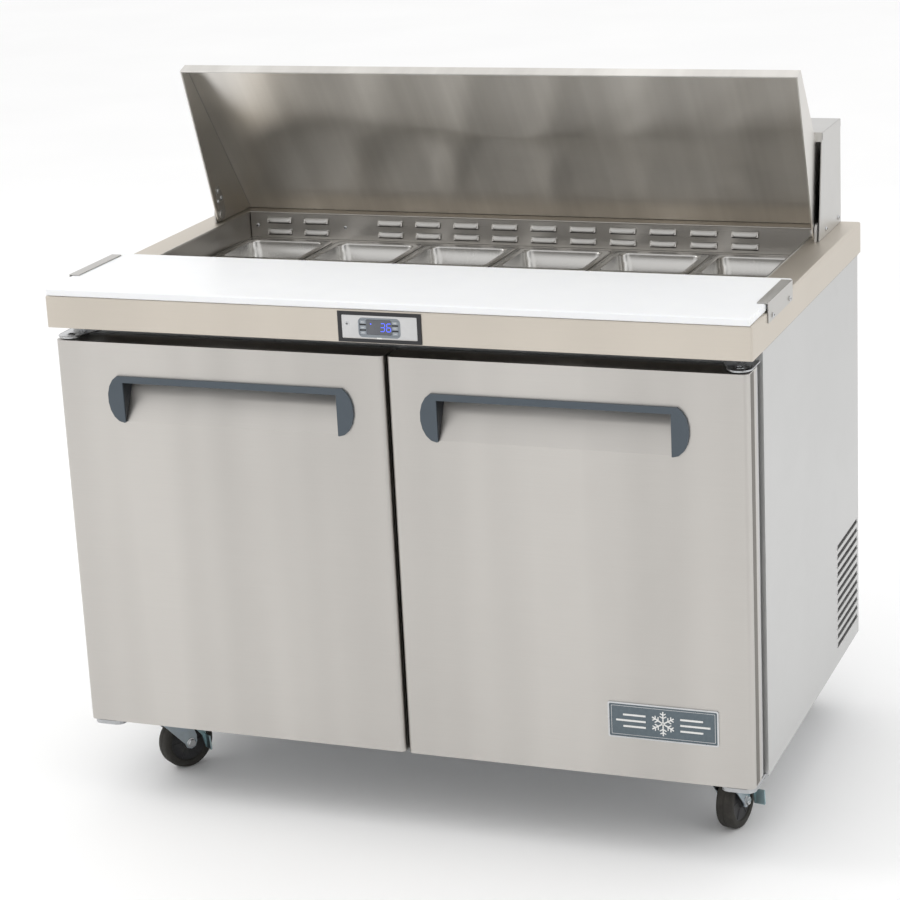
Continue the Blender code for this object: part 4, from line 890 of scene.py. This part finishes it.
# a plain six-armed frost star between two bars, the common sign for cold storage
bm = bmesh.new()
for i in range(6):
    a = math.pi / 6 + math.pi / 3 * i
    d = Vector((math.cos(a), 0, math.sin(a)))
    o0 = Vector((bx, DF - 0.0014, bz))
    rod(bm, o0 + d * 0.0012, o0 + d * 0.0210, 0.0012, 8)
    for s in (-1, 1):
        for rr, ll in ((0.0095, 0.0065), (0.0150, 0.0055)):
            a2 = a + s * math.pi / 3
            q = o0 + d * rr
            rod(bm, q, q + Vector((math.cos(a2), 0, math.sin(a2))) * ll, 0.0010, 8)
for s in (-1, 1):
    for dz, l in ((0.0100, 0.038), (0.0, 0.050), (-0.0100, 0.038)):
        rod(bm, (bx + s * 0.029, DF - 0.0014, bz + dz), (bx + s * (0.029 + l), DF - 0.0014, bz + dz), 0.0017, 8)
made("badge_frost_sign", bm, M_WHITE_IN, "door_right")

# ---------------------------------------------------------------------------
# handles: ribs and plates on the cheeks
# ---------------------------------------------------------------------------
for s, nm in ((-1, "left"), (1, "right")):
    hlo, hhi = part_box("door_handle_" + nm)
    cx = (hlo.x + hhi.x) / 2
    hx = (hhi.x - hlo.x) / 2
    inner = 0.2245 - 0.0290
    hx_in = 0.2245 - 0.0265 - 0.0026
    y0 = hlo.y
    bm = bmesh.new()
    for q in (-1, 1):
        xx = cx + q * (inner - 0.0005)
        for i in range(7):
            z0 = hhi.z - 0.0075
            yy = DF + 0.0050 + 0.0046 * i
            zb = 0.698 + (yy - DF) * (0.065 / 0.0355) + 0.004
            if zb < z0 - 0.004:
                rod(bm, (xx, yy, zb), (xx, yy, z0), 0.00070, 6)
    for q in (-1, 1):
        xa = cx + q * (hx_in - 0.0001)
        xb = cx + q * (hx_in - 0.0006)
        pts = [(frame_y(0.0046), 0.7732), (frame_y(0.0414), 0.7732), (frame_y(0.0414), 0.7640), (frame_y(0.0056), 0.6996)]
        fa = [bm.verts.new((xa, *pt)) for pt in pts]
        fb = [bm.verts.new((xb, *pt)) for pt in pts]
        bm.faces.new(fa)
        bm.faces.new(fb[::-1])
        for i in range(4):
            k = (i + 1) % 4
            bm.faces.new((fa[i], fb[i], fb[k], fa[k]))
    made("cheek_ribs_" + nm, bm, M_CHEEK, "door_" + nm)

# ---------------------------------------------------------------------------
# hinges: rivet, nose hole, and the screws of the leg
# ---------------------------------------------------------------------------
PLATE_Z = 0.8392
for s, nm in ((-1, "left"), (1, "right")):
    j = JOINT["door_%s_swing" % nm]
    px, py = j["pos_m"][0], j["pos_m"][1]
    bm = bmesh.new()
    lathe(bm, [(0.0, 0.0), (0.0072, 0.0), (0.0072, 0.0006), (0.0060, 0.0012), (0.0046, 0.0012), (0.0046, 0.0004), (0, 0.0004)],
          (px, py, PLATE_Z - 0.0001), (0, 0, 1), 28)
    made("hinge_collar_" + nm, bm, M_BOLT, "cabinet")
    # nose hole: on the left a dark disc of painted shade, on the right a bright zinc disc
    bm = bmesh.new()
    lathe(bm, [(0, 0), (0.0044, 0), (0.0044, 0.0002), (0, 0.0002)], (px, py, PLATE_Z + 0.0003), (0, 0, 1), 24)
    made("hinge_hole_" + nm, bm, M_DARKHOLE if s < 0 else M_BOLT, "cabinet")
    bm = bmesh.new()
    for x in (0.560, 0.583):
        screw(bm, (s * x, frame_y(0.0787), 0.8475), (0, -1, 0), 0.0040, 0.0018)
    made("hinge_screws_" + nm, bm, [M_BOLT, M_DARKHOLE], "cabinet")
    # bright rolled rim round the plate's nose
    bm = bmesh.new()
    rim = [(s * 0.6035, frame_y(0.0720)), (s * 0.6035, frame_y(0.030))]
    rim += [(s * (0.583 + 0.0205 * math.cos(RAD(a))), frame_y(0.030 - 0.0205 * math.sin(RAD(a)))) for a in range(10, 181, 10)]
    rim += [(s * 0.5625, frame_y(0.030)), (s * 0.5490, frame_y(0.058))]
    for a, b in zip(rim, rim[1:]):
        rod(bm, (a[0], a[1], PLATE_Z - 0.0008), (b[0], b[1], PLATE_Z - 0.0008), 0.0011, 8)
    made("hinge_rim_" + nm, bm, M_BOLT, "cabinet")

# ---------------------------------------------------------------------------
# door edges: folded return, a dark band in the door sides that is painted shade of a recessed groove, and light inner
# edge
# ---------------------------------------------------------------------------
for s, nm in ((-1, "left"), (1, "right")):
    lo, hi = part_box("door_" + nm)
    body = "door_" + nm
    xo = hi.x if s > 0 else lo.x                       # outer side
    xi = lo.x if s > 0 else hi.x                       # side at the table's centre
    for side, x, t in (("outer", xo, s), ("inner", xi, -s)):
        bm = bmesh.new()
        x0, x1 = sorted((x - t * 0.0002, x + t * 0.0002))
        rbox(bm, x0, x1, frame_y(0.0200), frame_y(0.0400), lo.z + 0.002, hi.z - 0.002, 0.00005, 1)
        made("door_side_band_%s_%s" % (side, nm), bm, M_SHADE_STRIP, body)
    bm = bmesh.new()
    x0, x1 = lo.x + 0.0006, hi.x - 0.0006
    z0, z1 = lo.z + 0.0006, hi.z - 0.0006
    ya, yc = frame_y(0.0523), frame_y(0.0660)
    w = 0.0052
    rbox(bm, x0, x0 + w, ya, yc, z0, z1, 0.0012, 2)
    rbox(bm, x1 - w, x1, ya, yc, z0, z1, 0.0012, 2)
    rbox(bm, x0 + w * 0.7, x1 - w * 0.7, ya, yc, z0, z0 + w, 0.0012, 2)
    rbox(bm, x0 + w * 0.7, x1 - w * 0.7, ya, yc, z1 - w, z1, 0.0012, 2)
    made("door_edge_trim_" + nm, bm, M_SIDE, body)

# ---------------------------------------------------------------------------
# lid: hinge plates with rivets inside its cheeks, welded corner beads, hemmed edges
# ---------------------------------------------------------------------------
lidj = JOINT["lid_fold"]
P = Vector(lidj["pos_m"])
llo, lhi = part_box("lid_shell")
ang = -RAD(70.5)


def lidp(b, u):
    """a point of the closed lid (back, up from its pivot) where it stands open"""
    c, s = math.cos(ang), math.sin(ang)
    return (P.y + b * c - u * s, P.z + b * s + u * c)


LX = lhi.x
for s, nm in ((-1, "left"), (1, "right")):
    xi = s * (LX - 0.0019)
    # riveted hinge plate on the inside of the cheek
    pts = [(-0.052, 0.004), (-0.014, -0.006), (0.004, -0.0105), (0.012, -0.004), (0.014, 0.012), (0.004, 0.022), (-0.030, 0.024), (-0.052, 0.018)]
    bm = bmesh.new()
    a = [bm.verts.new((xi, *lidp(*p))) for p in pts]
    b = [bm.verts.new((xi - s * 0.0010, *lidp(*p))) for p in pts]
    bm.faces.new(a)
    bm.faces.new(b[::-1])
    for i in range(len(a)):
        k = (i + 1) % len(a)
        bm.faces.new((a[i], b[i], b[k], a[k]))
    bmesh.ops.bevel(bm, geom=list(bm.edges), offset=0.0003, segments=1, affect="EDGES", profile=0.5)
    made("lid_hinge_plate_" + nm, bm, M_CLIP, "lid", True, 30)
    bm = bmesh.new()
    for p in ((-0.044, 0.011), (-0.026, 0.003), (-0.026, 0.017)):
        y, z = lidp(*p)
        lathe(bm, [(0, 0), (0.0048, 0), (0.0046, 0.0010), (0.0032, 0.0021), (0, 0.0025)], (xi - s * 0.0009, y, z), (-s, 0, 0), 18)
    made("lid_rivets_" + nm, bm, M_BOLT, "lid")
    # weld bead where the cheek meets the top sheet
    bm = bmesh.new()
    y0, z0 = lidp(-0.3065, 0.0086)
    y1, z1 = lidp(0.050, 0.1172)
    rod(bm, (xi - s * 0.0003, y0, z0), (xi - s * 0.0003, y1, z1), 0.0007, 8)
    y2, z2 = lidp(-0.3080, -0.0125)
    rod(bm, (xi - s * 0.0003, y0, z0), (xi - s * 0.0003, y2, z2), 0.0007, 8)
    made("lid_weld_" + nm, bm, M_CLIP, "lid")
    # hem along the cheek's lower edge
    bm = bmesh.new()
    ya, za = lidp(-0.3080, -0.0127)
    yb_, zb_ = lidp(-0.0120, -0.0127)
    d = Vector((0, yb_ - ya, zb_ - za))
    up = Vector((0, *(Vector(lidp(0, 1)) - Vector(lidp(0, 0)))))
    x0, x1 = sorted((xi, xi - s * 0.0011))
    vs = []
    for t in (0, 1):
        base = Vector((0, ya, za)) + d * t
        for xx, uu in ((x0, 0), (x1, 0), (x1, 0.011), (x0, 0.011)):
            vs.append(bm.verts.new(base + Vector((xx, 0, 0)) + up * uu))
    for f in ((0, 1, 2, 3), (7, 6, 5, 4), (0, 4, 5, 1), (1, 5, 6, 2), (2, 6, 7, 3), (3, 7, 4, 0)):
        bm.faces.new([vs[i] for i in f])
    bmesh.ops.bevel(bm, geom=list(bm.edges), offset=0.0003, segments=1, affect="EDGES", profile=0.5)
    made("lid_cheek_hem_" + nm, bm, M_LID, "lid", True, 30)

# folded hem along the lid's free edge
bm = bmesh.new()
ya, za = lidp(-0.3079, -0.0125)
rod(bm, (-LX + 0.004, ya, za), (LX - 0.004, ya, za), 0.0011, 8)
made("lid_edge_hem", bm, M_CLIP, "lid")

# ---------------------------------------------------------------------------
# rear hood: lapped top sheet and side screws
# ---------------------------------------------------------------------------
hlo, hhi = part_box("rear_hood")
bm = bmesh.new()
for s in (-1, 1):
    for y in (hhi.y - 0.020, hhi.y - 0.115):
        screw(bm, (s * hhi.x, y, TOP_Z + 0.012), (s, 0, 0), 0.0042, 0.0020)
made("hood_screws", bm, [M_BOLT, M_DARKHOLE], "cabinet")
bm = bmesh.new()
# overlapping end caps: the top sheet laps the cheeks by a few millimetres
for s in (-1, 1):
    rbox(bm, s * hhi.x, s * (hhi.x + 0.0009), hhi.y - 0.1385, hhi.y - 0.001, hhi.z - 0.0130, hhi.z - 0.0004, 0.0003, 1)
made("hood_lap", bm, M_HOOD, "cabinet")

# ---------------------------------------------------------------------------
# board clips: screws
# ---------------------------------------------------------------------------
for s, nm in ((-1, "left"), (1, "right")):
    lo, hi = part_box("board_bracket_" + nm)
    bm = bmesh.new()
    for y in (lo.y + 0.024, hi.y - 0.024):
        screw(bm, (s * 0.6144, y, 0.902), (s, 0, 0), 0.0041, 0.0016)
    made("clip_screws_" + nm, bm, [M_BOLT, M_DARKHOLE], "cabinet")

# dark plates inside the side slots: painted shade of the slots' interior
for s, nm in ((-1, "left"), (1, "right")):
    bm = bmesh.new()
    for i in range(12):
        z = 0.3585 - 0.0168 * i
        x0, x1 = sorted((s * 0.6054, s * 0.6057))
        rbox(bm, x0, x1, frame_y(0.5872), frame_y(0.7428), z - 0.0031, z + 0.0029, 0.0)
    made("vent_slot_shade_" + nm, bm, M_DARKHOLE, "cabinet", False)

# fine raised bead round the pan opening
bm = bmesh.new()
wx, wy0, wy1 = 0.5535, frame_y(0.3015), frame_y(0.6935)
for a, b in (((-wx, wy0), (wx, wy0)), ((wx, wy0), (wx, wy1)), ((wx, wy1), (-wx, wy1)), ((-wx, wy1), (-wx, wy0))):
    rod(bm, (a[0], a[1], TOP_Z - 0.0004), (b[0], b[1], TOP_Z - 0.0004), 0.0013, 8)
made("opening_bead", bm, M_CLIP, "cabinet")
# dark strip in gasket vinyl under the two ends of the worktop's skirt: painted shade of the skirt's overhang over the
# side panels
bm = bmesh.new()
for s in (-1, 1):
    x0, x1 = sorted((s * 0.6066, s * 0.6088))
    rbox(bm, x0, x1, frame_y(0.082), frame_y(0.757), 0.8540, 0.8572, 0.0003, 1)
made("skirt_shadow_strip", bm, M_GASKET, "cabinet")

# under-counter header strip seen in the gap over the doors, darkened with painted shade of the gap
bm = bmesh.new()
rbox(bm, -0.545, 0.545, -0.3005, -0.2995, 0.8350, 0.8500, 0.0003, 1)
made("header_strip", bm, M_SHADE_STRIP, "cabinet")

# ---------------------------------------------------------------------------
# rear panel: screws round the edge, blank data plate, cord grommet
# ---------------------------------------------------------------------------
blo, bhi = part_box("back_panel")
bm = bmesh.new()
for x in (-0.57, -0.285, 0.0, 0.285, 0.57):
    for z in (blo.z + 0.018, bhi.z - 0.060):
        screw(bm, (x, bhi.y, z), (0, 1, 0), 0.0045, 0.0022)
for x in (-0.585, 0.585):
    for z in (0.38, 0.60):
        screw(bm, (x, bhi.y, z), (0, 1, 0), 0.0045, 0.0022)
made("back_screws", bm, [M_BOLT, M_DARKHOLE], "cabinet")
bm = bmesh.new()
rbox(bm, 0.36, 0.46, bhi.y - 0.0002, bhi.y + 0.0006, 0.52, 0.58, 0.0002, 1)
made("data_plate_blank", bm, M_CLIP, "cabinet")
bm = bmesh.new()
lathe(bm, [(0.006, 0.0), (0.0135, 0.0), (0.0140, 0.0012), (0.0120, 0.0030), (0.0080, 0.0036), (0.0062, 0.0026), (0.006, 0.0)],
      (-0.42, bhi.y - 0.0002, 0.43), (0, 1, 0), 32)
lathe(bm, [(0, 0.0), (0.0070, 0.0), (0.0070, 0.0008), (0, 0.0008)], (-0.42, bhi.y - 0.0002, 0.43), (0, 1, 0), 24)
made("cord_grommet", bm, M_BLACK, "cabinet")

# pressed louvres of the duct panel: bowed caps with rounded ends over dark mouths of painted shade
bm = bmesh.new()
dlo2, dhi2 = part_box("duct_panel")
yface = frame_y(0.6865)
NU, NV = 16, 5
for i in range(13):
    if i == 2:
        continue
    x = -0.488 + 0.0757 * i
    for zc in (TOP_Z - 0.013, TOP_Z - 0.035):
        rows = []
        for v in range(NV + 1):
            t = v / NV
            row = []
            for u in range(NU + 1):
                w = -1 + 2 * u / NU
                e = max(0.0, 1 - abs(w) ** 6) ** 0.5
                p3 = 0.0054 * math.sin(t * math.pi / 2) ** 0.8 * e
                z = zc + 0.0062 - 0.0106 * t * (0.55 + 0.45 * e)
                row.append(bm.verts.new((x + w * 0.0258, yface - 0.0001 - p3, z)))
            rows.append(row)
        for ra, rb in zip(rows, rows[1:]):
            for u in range(NU):
                bm.faces.new((ra[u], ra[u + 1], rb[u + 1], rb[u]))
o = made("duct_louvre_caps", bm, M_CLIP, "cabinet", True, 60)
sm = o.modifiers.new("sheet", "SOLIDIFY")
sm.thickness = 0.0005
sm.offset = 1.0
bm = bmesh.new()
for i in range(13):
    if i == 2:
        continue
    x = -0.488 + 0.0757 * i
    for zc in (TOP_Z - 0.013, TOP_Z - 0.035):
        rbox(bm, x - 0.0240, x + 0.0240, yface - 0.0040, yface - 0.0002, zc - 0.0062, zc - 0.0043, 0.0004, 1)
made("duct_louvre_mouths", bm, M_DARKHOLE, "cabinet")

# well and duct screws
bm = bmesh.new()
plo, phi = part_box("duct_panel")
for x in (plo.x + 0.014, -0.353, phi.x - 0.014):
    screw(bm, (x, plo.y + 0.0045, TOP_Z - 0.024), (0, -1, 0), 0.0036, 0.0018)
made("duct_screws", bm, [M_BOLT, M_DARKHOLE], "cabinet")

# compressor terminal cover and grommets
colo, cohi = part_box("compressor")
bm = bmesh.new()
cxm, cym = -0.20, (colo.y + cohi.y) / 2
rbox(bm, cxm - 0.030, cxm + 0.030, cym - 0.0775, cym - 0.066, 0.225, 0.300, 0.003, 2)
made("terminal_cover", bm, M_BLACK, "cabinet")
bm = bmesh.new()
for sx in (-1, 1):
    for sy in (-1, 1):
        lathe(bm, [(0, 0), (0.0085, 0), (0.0092, 0.0030), (0.0080, 0.0060), (0, 0.0062)], (cxm + sx * 0.068, cym + sy * 0.048, 0.1800), (0, 0, 1), 20)
made("compressor_grommets", bm, M_HUB, "cabinet")

# soft sheet edges on the carried-over parts
for node, w in (("worktop", 0.0007), ("rear_hood", 0.0008), ("lid_shell", 0.0006), ("cutting_board", 0.0007),
                ("controller", 0.0003), ("door_handle_left", 0.0007), ("door_handle_right", 0.0007),
                ("side_panel_left", 0.0004), ("side_panel_right", 0.0004), ("board_bracket_left", 0.0004),
                ("board_bracket_right", 0.0004), ("caster_pedal_front_left", 0.0005), ("caster_pedal_front_right", 0.0005)):
    soften(node, w)

# ---------------------------------------------------------------------------
# floor, light, camera
# ---------------------------------------------------------------------------
bm = bmesh.new()
S = 14.0
vs = [bm.verts.new((x, y, 0.0)) for x, y in ((-S, -S), (S, -S), (S, S), (-S, S))]
bm.faces.new(vs)

me = bpy.data.meshes.new("studio_floor")
bm.to_mesh(me)
bm.free()
floor = bpy.data.objects.new("studio_floor", me)
bpy.context.scene.collection.objects.link(floor)
kf = Mat("studio_floor_paint")
kf.color(kf.ramp(kf.noise(kf.mapping((1.5, 1.5, 1.5)), 1.0, 2.0, 0.5), [(0.3, (0.955, 0.955, 0.955)), (0.7, (0.975, 0.975, 0.975))]))
kf.rough(0.8)
kf.b.inputs["Specular IOR Level"].default_value = 0.2
me.materials.append(kf.m)
floor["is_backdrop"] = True

world = bpy.data.worlds.new("studio")
bpy.context.scene.world = world
world.use_nodes = True
wn = world.node_tree
bg = wn.nodes["Background"]
tc = wn.nodes.new("ShaderNodeTexCoord")
mp = wn.nodes.new("ShaderNodeMapping")
mp.inputs["Scale"].default_value = (2.2, 2.2, 0.25)
nz = wn.nodes.new("ShaderNodeTexNoise")
nz.inputs["Scale"].default_value = 1.0
nz.inputs["Detail"].default_value = 1.0
rp = wn.nodes.new("ShaderNodeValToRGB")
rp.color_ramp.elements[0].position = 0.38
rp.color_ramp.elements[0].color = (0.90, 0.90, 0.905, 1)
rp.color_ramp.elements[1].position = 0.60
rp.color_ramp.elements[1].color = (1.0, 0.998, 0.992, 1)
wn.links.new(tc.outputs["Generated"], mp.inputs["Vector"])
wn.links.new(mp.outputs["Vector"], nz.inputs["Vector"])
wn.links.new(nz.outputs["Fac"], rp.inputs[0])


def flag(direction, inner, outer, dark):
    """a black flag on a stand: a soft darker patch of the studio wall in one direction"""
    d3 = Vector(direction).normalized()
    dot = wn.nodes.new("ShaderNodeVectorMath")
    dot.operation = "DOT_PRODUCT"
    dot.inputs[1].default_value = d3
    wn.links.new(tc.outputs["Generated"], dot.inputs[0])
    mr = wn.nodes.new("ShaderNodeMapRange")
    mr.interpolation_type = "SMOOTHSTEP"
    for i, v in enumerate((math.cos(outer), math.cos(inner), 1.0, dark)):
        mr.inputs[i + 1].default_value = v
    wn.links.new(dot.outputs["Value"], mr.inputs[0])
    return mr.outputs[0]


f1 = flag((0.80, -0.60, 0.10), RAD(14), RAD(34), 0.16)
f2 = flag((-0.95, -0.10, 0.25), RAD(10), RAD(34), 0.55)
ff = wn.nodes.new("ShaderNodeMath")
ff.operation = "MULTIPLY"
wn.links.new(f1, ff.inputs[0])
wn.links.new(f2, ff.inputs[1])
tint = wn.nodes.new("ShaderNodeVectorMath")
tint.operation = "SCALE"
wn.links.new(rp.outputs[0], tint.inputs[0])
wn.links.new(ff.outputs[0], tint.inputs["Scale"])
wn.links.new(tint.outputs["Vector"], bg.inputs["Color"])
bg.inputs["Strength"].default_value = 1.10


def area(name, loc, target, size, power, color=(1, 1, 1), size_y=None):
    l = bpy.data.lights.new(name, "AREA")
    l.energy = power
    l.color = color
    l.size = size
    if size_y:
        l.shape = "RECTANGLE"
        l.size_y = size_y
    o = bpy.data.objects.new(name, l)
    bpy.context.scene.collection.objects.link(o)
    o.location = loc
    o.rotation_euler = (Vector(target) - Vector(loc)).to_track_quat("-Z", "Y").to_euler()
    return o


area("key_softbox", (-3.6, -0.9, 3.6), (0, 0, 0.7), 2.6, 52, (1.0, 0.99, 0.97))
area("fill_softbox", (3.6, -1.4, 2.0), (0.2, 0, 0.6), 2.4, 16, (0.98, 0.99, 1.0))
area("top_softbox", (0.2, 0.6, 4.2), (0, 0, 0.9), 2.8, 8)

cam_data = bpy.data.cameras.new("camera")
cam = bpy.data.objects.new("camera", cam_data)
bpy.context.scene.collection.objects.link(cam)
F_PX = 2600.0
cam_data.sensor_width = 36.0
cam_data.lens = F_PX / 900.0 * 36.0
cam_data.clip_start, cam_data.clip_end = 0.05, 100
CAM = dict(loc=(1.59, -4.10, 1.90), yaw=0.379, pitch=0.2945, roll=-0.051)
d = Vector((-math.sin(CAM["yaw"]) * math.cos(CAM["pitch"]), math.cos(CAM["yaw"]) * math.cos(CAM["pitch"]), -math.sin(CAM["pitch"])))
r = d.cross(Vector((0, 0, 1))).normalized()
u = r.cross(d)
c, s = math.cos(CAM["roll"]), math.sin(CAM["roll"])
r2, u2 = r * c + u * s, u * c - r * s
cam.matrix_world = Matrix(((r2.x, u2.x, -d.x, CAM["loc"][0]), (r2.y, u2.y, -d.y, CAM["loc"][1]),
                           (r2.z, u2.z, -d.z, CAM["loc"][2]), (0, 0, 0, 1)))
bpy.context.scene.camera = cam
bpy.context.scene.view_settings.view_transform = "Standard"
bpy.context.scene.view_settings.look = "None"
bpy.context.scene.view_settings.exposure = 0.0

lo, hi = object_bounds()
